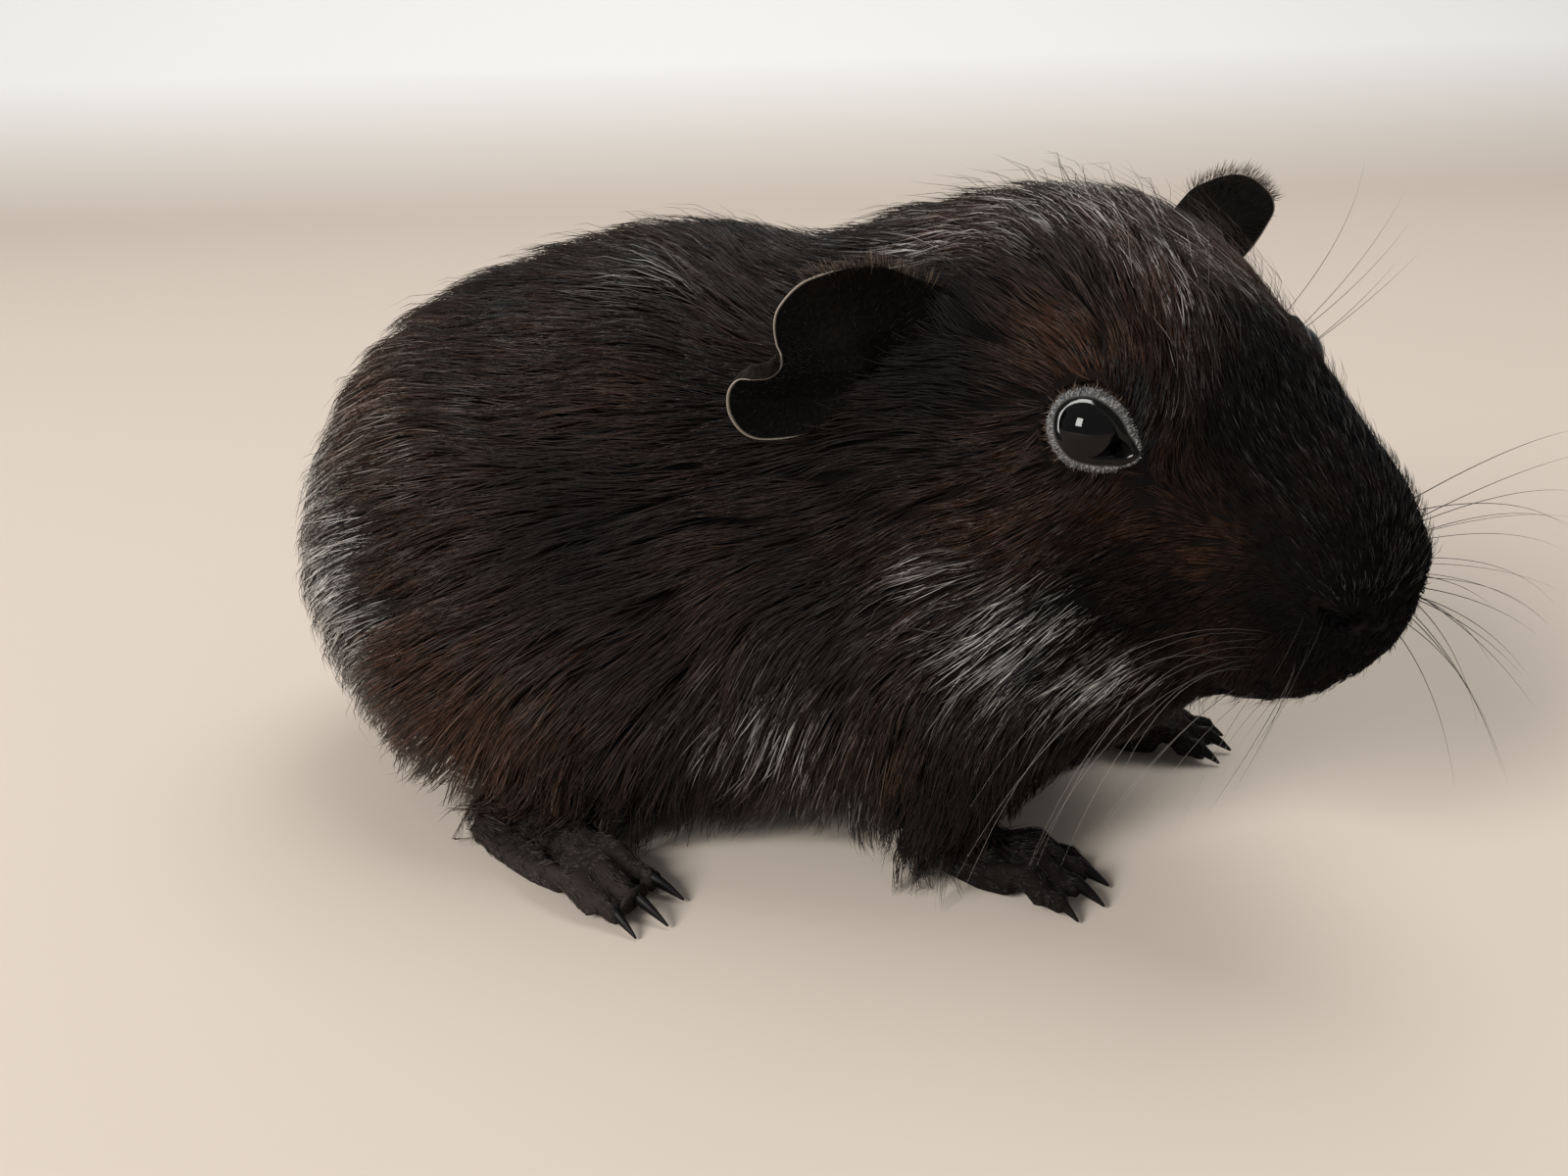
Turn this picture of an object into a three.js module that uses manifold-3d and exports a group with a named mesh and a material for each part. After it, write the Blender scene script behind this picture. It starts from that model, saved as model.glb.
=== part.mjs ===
// A young smooth-coated guinea pig standing at rest on all four feet, its head turned to its right.
// Millimetres. +X points along the trunk towards the head, +Y to the animal's left, +Z up, and the
// soles stand on z = 0. The flesh is one smooth distance function, a blend of rounded masses. It
// is meshed whole and then parted with thin cuts into the pieces that a person would name.
import * as THREE from "three";
import { mergeVertices } from "three/addons/utils/BufferGeometryUtils.js";
import Module from "manifold-3d";

const wasm = await Module();
wasm.setup();

// ---------- driving dimensions ----------

const gap = 0.35; // width of the thin cuts between neighbouring pieces
const trunkGrid = 7.5; // mesh spacing on the trunk and legs
const headGrid = 4.3; // finer on the head
const trunkFillet = 12; // how softly the masses of the trunk run together
const headFillet = 7;
const neckFillet = 10;

// The head's own frame: origin midway between the roots of the ears, +X towards the nose.
const headPlace = { x: 25, y: 2, z: 77, yaw: -34, pitch: 6, roll: 8 };

const eyeRadius = 5.0; // the whole eyeball
const eyeCentre = [22.6, 15.7, -7.4]; // in the head's frame, for the left eye
const earThickness = 1.1;

const earGap = 0.7; // the ears keep this far from the flesh beside them

const toeSides = 6;
const clawSides = 5;

const v3 = (x, y, z) => new THREE.Vector3(x, y, z);
const degrees = THREE.MathUtils.degToRad;

// ---------- materials ----------

const materials = {
  coat: new THREE.MeshStandardMaterial({ color: 0x1c1512, roughness: 0.5, metalness: 0 }),
  ear: new THREE.MeshStandardMaterial({ color: 0x14100f, roughness: 0.65, metalness: 0 }),
  eye: new THREE.MeshStandardMaterial({ color: 0x050507, roughness: 0.05, metalness: 0 }),
  foot: new THREE.MeshStandardMaterial({ color: 0x17120f, roughness: 0.6, metalness: 0 }),
  claw: new THREE.MeshStandardMaterial({ color: 0x0d0b0b, roughness: 0.35, metalness: 0 }),
};

// ---------- the scene graph ----------

const figure = new THREE.Group();
const guineaPig = new THREE.Group();
figure.add(guineaPig);
const headGroup = new THREE.Group();
headGroup.position.set(headPlace.x, headPlace.y, headPlace.z);
headGroup.rotation.set(
  degrees(headPlace.roll),
  degrees(headPlace.pitch),
  degrees(headPlace.yaw),
  "ZYX",
);
headGroup.updateMatrix();
guineaPig.add(headGroup);
const outOfHead = headGroup.matrix;
const intoHead = outOfHead.clone().invert();

// ---------- the smooth function of the flesh ----------

// A rounded mass: an ellipsoid with half-axes r about c, nosed down by tilt degrees and turned
// by swing degrees about Z. Returns the distance to its surface, negative inside.
function mass(c, r, tilt = 0, swing = 0) {
  const inward = new THREE.Matrix4()
    .makeRotationFromEuler(new THREE.Euler(0, degrees(tilt), degrees(swing), "ZYX"))
    .setPosition(...c)
    .invert();
  const q = v3();
  return (p) => {
    q.copy(p).applyMatrix4(inward);
    const share = Math.hypot(q.x / r[0], q.y / r[1], q.z / r[2]);
    const slope = Math.hypot(q.x / r[0] ** 2, q.y / r[1] ** 2, q.z / r[2] ** 2);
    return slope > 1e-9 ? (share * (share - 1)) / slope : -Math.min(...r);
  };
}

// The same mass on the right side and on the left.
const pair = (c, r, tilt = 0, swing = 0) => [
  mass([c[0], -c[1], c[2]], r, tilt, -swing),
  mass(c, r, tilt, swing),
];

// Joins two distances with a fillet about k wide.
function blend(a, b, k) {
  const h = Math.max(k - Math.abs(a - b), 0) / k;
  return Math.min(a, b) - (h * h * k) / 4;
}

const trunkMasses = [
  mass([-51, 0, 43], [45, 40, 37.5], -6), // hindquarters
  mass([-60, 0, 31], [37, 37, 28]), // seat
  mass([-28, 0, 48], [38, 36, 38]), // loins
  mass([0, 1, 43], [34, 31, 37]), // ribs
  mass([20, 0, 42], [24, 28, 30]), // shoulders
  mass([-20, 0, 34], [48, 34, 26]), // belly
  mass([32, -2, 38], [18, 20, 20]), // breast
  ...pair([-16, 18, 23.5], [34, 17, 18.5]), // folds of the flanks
  ...pair([-41, 28, 22.5], [29, 18, 20.5], 0, -8), // thighs
  ...pair([15, 21, 24], [13, 11, 20.5]), // upper arms
];
const neckMasses = [
  mass([20, 3, 60], [27, 22, 25], -18), // neck
  mass([9, 5, 71], [18, 17, 18], -15), // nape
];
const headMasses = [
  mass([4, 0, -4], [24, 21, 18.5]), // cranium
  mass([24, 0, -10], [24, 15.5, 16], 32), // forehead and bridge of the nose
  mass([42, 0, -22], [14, 11.8, 15], 20), // muzzle
  ...pair([8, 12, -19], [23, 13, 16]), // cheeks
  ...pair([26, 9, -22], [16, 9, 13], 20), // sides of the face
  ...pair([39, 6, -29], [11, 7.5, 9]), // whisker pads
  mass([26, 0, -34], [20, 10, 9]), // lower jaw
];

const local = v3();
function fleshAt(p) {
  let body = Infinity;
  for (const m of trunkMasses) body = blend(body, m(p), trunkFillet);
  for (const m of neckMasses) body = blend(body, m(p), trunkFillet);
  local.copy(p).applyMatrix4(intoHead);
  let head = Infinity;
  for (const m of headMasses) head = blend(head, m(local), headFillet);
  return blend(body, head, neckFillet);
}

// ---------- meshing ----------

const corners = [0, 1, 2, 3, 4, 5, 6, 7].map((n) => [n & 1, (n >> 1) & 1, n >> 2]);
const edges = corners.flatMap((a, n) =>
  [0, 1, 2].filter((axis) => !a[axis]).map((axis) => [n, n + (1 << axis)]),
);

// Surface nets: one vertex in each cell that the surface crosses, pulled onto the surface, and
// one quad across each grid edge that the surface crosses. Returns a closed indexed geometry.
function netsOf(distance, box, step) {
  const count = box.getSize(v3()).divideScalar(step).ceil().addScalar(3).toArray();
  const origin = box.min.clone().subScalar(step);
  const key = (i, j, k) => i + count[0] * (j + count[1] * k);
  const field = new Float64Array(count[0] * count[1] * count[2]);
  const each = (first, last, visit) => {
    for (let k = first; k < count[2] - last; k++)
      for (let j = first; j < count[1] - last; j++)
        for (let i = first; i < count[0] - last; i++) visit(i, j, k);
  };
  const p = v3();
  each(0, 0, (i, j, k) => {
    field[key(i, j, k)] = distance(p.set(i, j, k).multiplyScalar(step).add(origin));
  });

  const positions = [];
  const made = new Map();
  const vertexOf = (i, j, k) => {
    const cell = key(i, j, k);
    if (made.has(cell)) return made.get(cell);
    const sum = v3();
    let crossings = 0;
    for (const [a, b] of edges) {
      const [pa, pb] = [corners[a], corners[b]];
      const fa = field[key(i + pa[0], j + pa[1], k + pa[2])];
      const fb = field[key(i + pb[0], j + pb[1], k + pb[2])];
      if (fa < 0 === fb < 0) continue;
      sum.add(v3(...pa).lerp(v3(...pb), fa / (fa - fb)));
      crossings++;
    }
    const q = sum.divideScalar(crossings).add(v3(i, j, k)).multiplyScalar(step).add(origin);
    settle(q, distance, step / 3);
    positions.push(q.x, q.y, q.z);
    made.set(cell, made.size);
    return made.size - 1;
  };

  const index = [];
  each(1, 2, (i, j, k) => {
    const inside = field[key(i, j, k)] < 0;
    for (let axis = 0; axis < 3; axis++) {
      const next = [i, j, k];
      next[axis]++;
      if (inside === field[key(...next)] < 0) continue;
      const u = [0, 0, 0];
      const w = [0, 0, 0];
      u[(axis + 1) % 3] = 1;
      w[(axis + 2) % 3] = 1;
      const ring = [
        vertexOf(i, j, k),
        vertexOf(i - u[0], j - u[1], k - u[2]),
        vertexOf(i - u[0] - w[0], j - u[1] - w[1], k - u[2] - w[2]),
        vertexOf(i - w[0], j - w[1], k - w[2]),
      ];
      if (!inside) ring.reverse();
      index.push(ring[0], ring[1], ring[2], ring[0], ring[2], ring[3]);
    }
  });
  return new THREE.BufferGeometry()
    .setAttribute("position", new THREE.BufferAttribute(new Float32Array(positions), 3))
    .setIndex(index);
}

// Moves q down the slope of distance until it lies on the surface, never more than most a turn.
function settle(q, distance, most) {
  const h = 0.05;
  for (let turn = 0; turn < 3; turn++) {
    const d = distance(q);
    const slope = v3(
      distance(v3(q.x + h, q.y, q.z)) - d,
      distance(v3(q.x, q.y + h, q.z)) - d,
      distance(v3(q.x, q.y, q.z + h)) - d,
    ).divideScalar(h);
    const move = THREE.MathUtils.clamp(d / Math.max(slope.lengthSq(), 0.05), -most, most);
    q.addScaledVector(slope, -move);
  }
}

// ---------- solids ----------

function solidOf(geometry, place) {
  const bare = new THREE.BufferGeometry()
    .setAttribute("position", geometry.getAttribute("position").clone())
    .setIndex(geometry.index);
  if (place) bare.applyMatrix4(place);
  const merged = mergeVertices(bare, 1e-4);
  return new wasm.Manifold(
    new wasm.Mesh({
      numProp: 3,
      vertProperties: merged.attributes.position.array,
      triVerts: new Uint32Array(merged.index.array),
    }),
  );
}

function geometryOf(solid) {
  const mesh = solid.getMesh();
  return new THREE.BufferGeometry()
    .setAttribute("position", new THREE.BufferAttribute(new Float32Array(mesh.vertProperties), 3))
    .setIndex(new THREE.BufferAttribute(new Uint32Array(mesh.triVerts), 1));
}

// The largest body of a solid: a cut can leave crumbs of no size beside it.
const largest = (solid) =>
  solid.decompose().reduce((a, b) => (a.volume() > b.volume() ? a : b));

const placed = (x, y, z, euler) =>
  new THREE.Matrix4().makeRotationFromEuler(euler ?? new THREE.Euler()).setPosition(x, y, z);

// A long box on the far side of a cutting plane through point, reaching away along normal.
function beyond(point, normal) {
  const reach = 300;
  const turn = new THREE.Matrix4().makeRotationFromQuaternion(
    new THREE.Quaternion().setFromUnitVectors(v3(0, 0, 1), normal.clone().normalize()),
  );
  turn.setPosition(point.clone().addScaledVector(normal.clone().normalize(), reach / 2));
  return solidOf(new THREE.BoxGeometry(reach, reach, reach), turn);
}

// An ellipsoid as a closed solid, for cutting limbs from the trunk.
function egg(c, r, grow, detail, swing = 0) {
  const place = placed(...c, new THREE.Euler(0, 0, degrees(swing)));
  place.scale(v3(r[0] + grow, r[1] + grow, r[2] + grow));
  return solidOf(new THREE.IcosahedronGeometry(1, detail), place);
}

// A tube of round or flattened section along a curve, closed by a point at each end.
// size(t) gives its half-width and half-height at share t of the way.
function tube(curve, size, sides, rings) {
  const positions = [];
  const up = v3(0, 0, 1);
  for (let n = 0; n <= rings; n++) {
    const t = n / rings;
    const centre = curve.getPoint(t);
    const side = up.clone().cross(curve.getTangent(t)).normalize();
    const top = curve.getTangent(t).cross(side);
    const [wide, high] = size(t);
    for (let s = 0; s < sides; s++) {
      const a = (2 * Math.PI * s) / sides;
      const q = centre.clone().addScaledVector(side, wide * Math.cos(a));
      positions.push(...q.addScaledVector(top, high * Math.sin(a)).toArray());
    }
  }
  const [start, end] = [curve.getPoint(0), curve.getPoint(1)];
  const reach = size(0)[1] * 0.6;
  positions.push(...start.addScaledVector(curve.getTangent(0), -reach).toArray());
  positions.push(...end.addScaledVector(curve.getTangent(1), size(1)[1] * 0.6).toArray());
  const index = [];
  for (let s = 0; s < sides; s++) {
    const next = (s + 1) % sides;
    for (let n = 0; n < rings; n++) {
      const [a, b] = [n * sides + s, n * sides + next];
      index.push(a, b, b + sides, a, b + sides, a + sides);
    }
    const tips = (rings + 1) * sides;
    index.push(tips, next, s, tips + 1, rings * sides + s, rings * sides + next);
  }
  return new THREE.BufferGeometry()
    .setAttribute("position", new THREE.BufferAttribute(new Float32Array(positions), 3))
    .setIndex(index);
}

function addPiece(parent, name, geometry, material) {
  const mesh = new THREE.Mesh(geometry, material);
  mesh.name = name;
  parent.add(mesh);
  return mesh;
}

// ---------- whole flesh, coarse and fine ----------

const wholeBox = new THREE.Box3(v3(-110, -60, -6), v3(100, 60, 110));
const headBox = new THREE.Box3(v3(-38, -50, 12), v3(84, 50, 106));

// The same function ended at the walls of a box, a little inside its faces.
const within = (box, distance) => {
  const [middle, half] = [box.getCenter(v3()), box.getSize(v3()).multiplyScalar(0.5)];
  const q = v3();
  return (p) => {
    q.copy(p).sub(middle);
    const out = Math.max(
      Math.abs(q.x) - half.x + 1,
      Math.abs(q.y) - half.y + 1,
      Math.abs(q.z) - half.z + 1,
    );
    return Math.max(distance(p), out);
  };
};
const coarse = solidOf(netsOf(fleshAt, wholeBox, trunkGrid));
const fine = solidOf(netsOf(within(headBox, fleshAt), headBox, headGrid));
const grown = solidOf(netsOf(within(headBox, (p) => fleshAt(p) - earGap), headBox, headGrid));

// ---------- eyes ----------

const eyeGeometry = new THREE.IcosahedronGeometry(eyeRadius, 2);
const socketGeometry = new THREE.IcosahedronGeometry(eyeRadius + gap, 2);
const sides = [
  { name: "right", way: -1 },
  { name: "left", way: 1 },
];
let sockets = null;
for (const side of sides) {
  const eye = addPiece(headGroup, `eye_${side.name}`, eyeGeometry, materials.eye);
  eye.position.set(eyeCentre[0], side.way * eyeCentre[1], eyeCentre[2]);
  eye.updateMatrix();
  const socket = solidOf(socketGeometry, outOfHead.clone().multiply(eye.matrix));
  sockets = sockets ? sockets.add(socket) : socket;
}

// ---------- nostrils and mouth ----------

// Grooves sunk in the face, along curves that are first brought onto the surface of the flesh.
const curveThrough = (points) => new THREE.CatmullRomCurve3(points);
const onFlesh = (points) =>
  points.map((p) => {
    const q = v3(...p).applyMatrix4(outOfHead);
    settle(q, fleshAt, headGrid);
    return q;
  });
const nostrilRun = [
  [51.7, 8.8, -21.4],
  [53, 7.4, -23.2],
  [54.6, 4.9, -24],
];
const mouthRun = [
  [37, -10.5, -36],
  [44, -7, -37],
  [48, 0, -37],
  [44, 7, -37],
  [37, 10.5, -36],
];
let grooves = solidOf(tube(curveThrough(onFlesh(mouthRun)), () => [0.8, 0.8], 5, 6));
for (const side of sides) {
  const run = onFlesh(nostrilRun.map(([x, y, z]) => [x, side.way * y, z]));
  const size = (t) => [0.6 + 1.1 * t, 0.6 + 1.1 * t];
  grooves = grooves.add(solidOf(tube(curveThrough(run), size, 6, 3)));
}

// ---------- ears ----------

// The rims in each ear's own frame: +X out from the head, +Y to the cupped front face, +Z up.
// The right ear's lower lobe is folded, so its rim steps out and in again below a notch.
const rims = {
  right: [
    [-4, 0, 8.4],
    [8.5, 1, 11.4],
    [16.8, 0.5, 11.6],
    [20.8, 0, 8.6],
    [21, -1, 4.8],
    [20.6, -1.5, 0.9],
    [22.8, 0.8, -0.9],
    [26.4, 2.2, 0.8],
    [27.9, 1, -2],
    [26.6, -1, -6],
    [20, -1.5, -8],
    [9, -1, -7.6],
    [-4, 0, -7.4],
  ],
  left: [
    [-2, 0, 7],
    [7, 1, 7.8],
    [15, 1, 7.2],
    [20.5, 0.5, 5],
    [23, 0, 1.2],
    [22, 0, -2.6],
    [17.5, 0, -6],
    [9, 0, -8.5],
    [-2, 0, -8],
  ],
};
const rootPoints = [v3(-7, 0, 7), v3(-7.5, -1.5, 0), v3(-7, 0, -8)];
const cupDepth = 3.2;

// A closed sheet between root and rim: t runs along both, u from root to rim, and the sheet
// sinks away from the front face between them, most at its middle.
function earGeometry(rimPoints, along, across) {
  const rim = new THREE.CatmullRomCurve3(rimPoints.map((p) => v3(...p)));
  const root = new THREE.CatmullRomCurve3(rootPoints);
  const middle = (t, u) => {
    const q = root.getPoint(t).lerp(rim.getPoint(t), u);
    q.y -= cupDepth * Math.sin(Math.PI * u) * Math.sin(Math.PI * t);
    return q;
  };
  const h = 1e-3;
  const positions = [];
  for (const face of [1, -1])
    for (let a = 0; a <= along; a++)
      for (let c = 0; c <= across; c++) {
        const [t, u] = [a / along, c / across];
        const q = middle(t, u);
        const dt = middle(Math.min(t + h, 1), u).sub(middle(Math.max(t - h, 0), u));
        const du = middle(t, Math.min(u + h, 1)).sub(middle(t, Math.max(u - h, 0)));
        const normal = dt.cross(du).normalize();
        const taper = 1 - 0.35 * u * u;
        positions.push(
          ...q.addScaledVector(normal, (face * taper * earThickness) / 2).toArray(),
        );
      }
  const row = across + 1;
  const layer = row * (along + 1);
  const index = [];
  const quad = (a, b, c, d) => index.push(a, b, c, a, c, d);
  for (let a = 0; a < along; a++)
    for (let c = 0; c < across; c++) {
      const n = a * row + c;
      quad(n, n + row, n + row + 1, n + 1);
      quad(layer + n, layer + n + 1, layer + n + row + 1, layer + n + row);
    }
  for (let a = 0; a < along; a++) {
    const [n, m] = [a * row, a * row + across];
    quad(n, layer + n, layer + n + row, n + row);
    quad(m, m + row, layer + m + row, layer + m);
  }
  for (let c = 0; c < across; c++) {
    const m = along * row + c;
    quad(c, c + 1, layer + c + 1, layer + c);
    quad(m, layer + m, layer + m + 1, m + 1);
  }
  return new THREE.BufferGeometry()
    .setAttribute("position", new THREE.BufferAttribute(new Float32Array(positions), 3))
    .setIndex(index);
}

// Each ear is swept back about its root by so many degrees.
const ears = {
  right: { root: [3, -23, 0], sweep: 13 },
  left: { root: [2, 20, 0.5], sweep: 17 },
};
for (const side of sides) {
  const ear = ears[side.name];
  const sweep = degrees(ear.sweep);
  const out = v3(-Math.sin(sweep), side.way * Math.cos(sweep), 0);
  const front = v3(Math.cos(sweep), side.way * Math.sin(sweep), 0);
  const place = new THREE.Matrix4().makeBasis(out, front, v3(0, 0, 1)).setPosition(...ear.root);
  const sheet = earGeometry(rims[side.name], 14, 3).applyMatrix4(place);
  // Local +Z stays up on both sides, so one of the two frames is a mirror image.
  if (place.determinant() < 0) {
    const order = sheet.index.array;
    for (let n = 0; n < order.length; n += 3) [order[n], order[n + 1]] = [order[n + 1], order[n]];
  }
  const cut = largest(solidOf(sheet, outOfHead).subtract(grown));
  addPiece(headGroup, `ear_${side.name}`, geometryOf(cut).applyMatrix4(intoHead), materials.ear);
}

// ---------- head, neck, trunk and legs ----------

// An ellipsoid about the head parts it from the neck behind the ears and below the jaw.
const headCut = (grow) =>
  egg([22, 0, -12], [40, 42, 38], grow, 2).transform(outOfHead.elements);
const headSolid = fine.intersect(headCut(-gap / 2)).subtract(sockets).subtract(grooves);
addPiece(
  headGroup,
  "head",
  geometryOf(largest(headSolid)).applyMatrix4(intoHead),
  materials.coat,
);

const headless = coarse.subtract(headCut(gap / 2));
const withers = v3(4, 0, 62);
const neckward = v3(0.72, -0.1, 0.62).normalize();
const neck = headless.intersect(beyond(withers.clone().addScaledVector(neckward, gap / 2), neckward));
addPiece(guineaPig, "neck", geometryOf(largest(neck)), materials.coat);
let trunk = headless.subtract(
  beyond(withers.clone().addScaledVector(neckward, -gap / 2), neckward),
);
const legs = [];
for (const side of sides) {
  legs.push({
    name: `hind_leg_${side.name}`,
    cut: (grow) => egg([-42, side.way * 36, 19], [28, 19, 27], grow, 2, side.way * -8),
  });
  legs.push({
    name: `front_leg_${side.name}`,
    cut: (grow) => egg([15, side.way * 25, 17], [13, 13, 24], grow, 1),
  });
}
const whole = trunk;
for (const leg of legs) {
  leg.solid = largest(whole.intersect(leg.cut(-gap / 2)));
  trunk = trunk.subtract(leg.cut(gap / 2));
  addPiece(guineaPig, leg.name, geometryOf(leg.solid), materials.coat);
}
trunk = largest(trunk);
addPiece(guineaPig, "trunk", geometryOf(trunk), materials.coat);

// ---------- feet ----------

// Each foot lies in a frame of its own: origin on the floor below the heel or the wrist,
// +X towards the toes. A toe is given by its sideways place and turn at the knuckle row.
const footKinds = {
  hind: {
    sole: [[-1, 0, 5.4], [8, 0, 3.7], [18, 0, 4.4]],
    soleSize: (t) => [3.6 + 1.9 * t, 4.2],
    knuckle: 16,
    rise: 4.6,
    toes: [
      { y: -3.4, turn: -2, length: 9.5 },
      { y: 0, turn: 1, length: 11 },
      { y: 3.4, turn: 10, length: 8.5 },
    ],
    toeSize: (t) => [2.3 - 0.5 * t, 2.5 - 0.7 * t],
    claw: 7.5,
  },
  front: {
    sole: [[-2, 0, 8], [3, 0, 4.8], [9, 0, 4]],
    soleSize: (t) => [4.2 + 1.2 * t, 5 - 0.5 * t],
    knuckle: 8,
    rise: 5,
    toes: [
      { y: -3.8, turn: -15, length: 6 },
      { y: -1.3, turn: -4, length: 8.2 },
      { y: 1.5, turn: 7, length: 8 },
      { y: 3.8, turn: 20, length: 5.5 },
    ],
    toeSize: (t) => [1.75 - 0.35 * t, 2 - 0.5 * t],
    claw: 4.8,
  },
};
const feet = [
  { name: "hind_foot_right", kind: "hind", at: [-45.5, -40], turn: -15 },
  { name: "hind_foot_left", kind: "hind", at: [-47, 39], turn: 14 },
  { name: "front_foot_right", kind: "front", at: [18, -21.5], turn: 5 },
  { name: "front_foot_left", kind: "front", at: [26, 26], turn: 20 },
];
const floor = solidOf(new THREE.BoxGeometry(400, 400, 40), placed(0, 0, -20));
const vectors = (points) => points.map((p) => v3(...p));
const clawRoot = 1.25; // half-width of a claw where it leaves the toe
const clawTipHeight = 0.5;

for (const foot of feet) {
  const kind = footKinds[foot.kind];
  const place = placed(foot.at[0], foot.at[1], 0, new THREE.Euler(0, 0, degrees(foot.turn)));
  let solid = solidOf(tube(curveThrough(vectors(kind.sole)), kind.soleSize, 8, 3));
  const claws = [];
  for (const toe of kind.toes) {
    const [c, s] = [Math.cos(degrees(toe.turn)), Math.sin(degrees(toe.turn))];
    const along = (d, z) => [kind.knuckle + d * c, toe.y + d * s, z];
    const last = toe.length;
    const bones = [along(-3, kind.rise), along(last * 0.45, kind.rise + 0.4), along(last, 2.2)];
    solid = solid.add(solidOf(tube(curveThrough(vectors(bones)), kind.toeSize, toeSides, 2)));
    const horn = [
      along(last - 1.2, 3),
      along(last + kind.claw * 0.5, 3),
      along(last + kind.claw, clawTipHeight),
    ];
    const taper = (t) => [clawRoot * (1 - 0.85 * t), clawRoot * 1.15 * (1 - 0.85 * t)];
    claws.push(solidOf(tube(curveThrough(vectors(horn)), taper, clawSides, 2)));
  }
  solid = solid.subtract(floor);
  const name = foot.name.replace("foot", "claw");
  claws.forEach((claw, n) => {
    const outer = claw.subtract(solid.add(solid.translate([0.25, 0, 0])));
    const mesh = addPiece(guineaPig, `${name}_${n + 1}`, geometryOf(largest(outer)), materials.claw);
    mesh.applyMatrix4(place);
  });
  // The coat of the leg hangs over the foot, so the foot ends where it goes into the coat.
  const intoFoot = place.clone().invert();
  for (const coat of [...legs.map((leg) => leg.solid), trunk])
    solid = solid.subtract(coat.transform(intoFoot.elements));
  const mesh = addPiece(guineaPig, foot.name, geometryOf(largest(solid)), materials.foot);
  mesh.applyMatrix4(place);
}

// ---------- the part's origin ----------

// The middle of the footprint, on the floor.
const extent = new THREE.Box3().setFromObject(guineaPig, true);
const centre = extent.getCenter(v3());
guineaPig.position.set(-centre.x, -centre.y, -extent.min.z);

export default figure;
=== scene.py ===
import math

import bpy
import numpy as np
from mathutils import Matrix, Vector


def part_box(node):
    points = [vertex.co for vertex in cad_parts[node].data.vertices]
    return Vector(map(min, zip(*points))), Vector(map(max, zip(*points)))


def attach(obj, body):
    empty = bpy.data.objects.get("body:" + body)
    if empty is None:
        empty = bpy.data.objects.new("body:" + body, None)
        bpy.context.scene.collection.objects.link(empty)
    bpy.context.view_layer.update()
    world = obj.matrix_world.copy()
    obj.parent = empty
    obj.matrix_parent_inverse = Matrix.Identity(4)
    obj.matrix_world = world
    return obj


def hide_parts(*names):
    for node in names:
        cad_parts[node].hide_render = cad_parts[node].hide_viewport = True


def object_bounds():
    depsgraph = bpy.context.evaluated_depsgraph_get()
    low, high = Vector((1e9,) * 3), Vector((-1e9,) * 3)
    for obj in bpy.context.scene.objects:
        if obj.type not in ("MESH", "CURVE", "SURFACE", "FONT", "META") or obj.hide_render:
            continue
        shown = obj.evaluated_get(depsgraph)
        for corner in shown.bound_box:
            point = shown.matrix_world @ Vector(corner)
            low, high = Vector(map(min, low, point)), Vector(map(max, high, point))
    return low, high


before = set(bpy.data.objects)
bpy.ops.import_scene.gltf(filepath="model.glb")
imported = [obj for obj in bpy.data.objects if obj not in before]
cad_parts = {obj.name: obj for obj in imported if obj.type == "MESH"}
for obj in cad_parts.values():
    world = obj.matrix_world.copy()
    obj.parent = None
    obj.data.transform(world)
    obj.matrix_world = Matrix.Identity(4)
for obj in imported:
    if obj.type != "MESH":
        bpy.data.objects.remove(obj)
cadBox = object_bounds()
rng = np.random.default_rng(11)

# All shape work is in millimetres in the part's frame; makeMesh turns it to metres.


def unit(v):
    # rows of v, each at length one
    return v / np.maximum(np.linalg.norm(v, axis=-1, keepdims=True), 1e-9)


def ramp(x, low, high):
    # smooth step: 0 below low, 1 above high, cubic between
    t = np.clip((x - low) / (high - low), 0, 1)
    return t * t * (3 - 2 * t)


def nearTo(points, centre, reach):
    # 1 at the centre, falling off as a bell curve with that reach
    return np.exp(-np.sum((points - centre) ** 2, axis=-1) / reach**2)


def ripple(points, size, pick):
    # smooth noise of about -1 to 1: five sine waves of about that length, in fixed directions
    waves = np.random.default_rng(pick)
    ways = unit(waves.normal(size=(5, 3))) * (2 * math.pi / size) * waves.uniform(0.7, 1.4, (5, 1))
    return np.sin(points @ ways.T + waves.uniform(0, 6.3, 5)).sum(axis=-1) / 2.6


def nodeBox(node):
    return np.array(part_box(node)) * 1000


def nodeCentre(node):
    return nodeBox(node).mean(axis=0)


def makeMesh(name, points, faces=None):
    # points in millimetres, faces as one array of triangles or of quads, or loose points
    mesh = bpy.data.meshes.new(name)
    mesh.vertices.add(len(points))
    mesh.vertices.foreach_set("co", (points / 1000).astype(np.float32).ravel())
    if faces is not None:
        mesh.loops.add(faces.size)
        mesh.polygons.add(len(faces))
        mesh.loops.foreach_set("vertex_index", faces.astype(np.int32).ravel())
        starts = np.arange(0, faces.size, faces.shape[1], dtype=np.int32)
        mesh.polygons.foreach_set("loop_start", starts)
        mesh.update(calc_edges=True)
        mesh.polygons.foreach_set("use_smooth", np.full(len(faces), True))
    return mesh


def addObject(name, data):
    thing = bpy.data.objects.new(name, data)
    bpy.context.collection.objects.link(thing)
    return thing


def addPiece(name, mesh, material, replaced=()):
    piece = addObject(name, mesh)
    mesh.materials.append(material)
    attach(piece, "root")
    if replaced:
        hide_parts(*replaced)
    return piece


def meshPoints(mesh):
    # the places of the corners of a mesh, in millimetres
    places = np.empty(len(mesh.vertices) * 3, np.float32)
    mesh.vertices.foreach_get("co", places)
    return places.reshape(-1, 3).astype(float) * 1000


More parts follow.
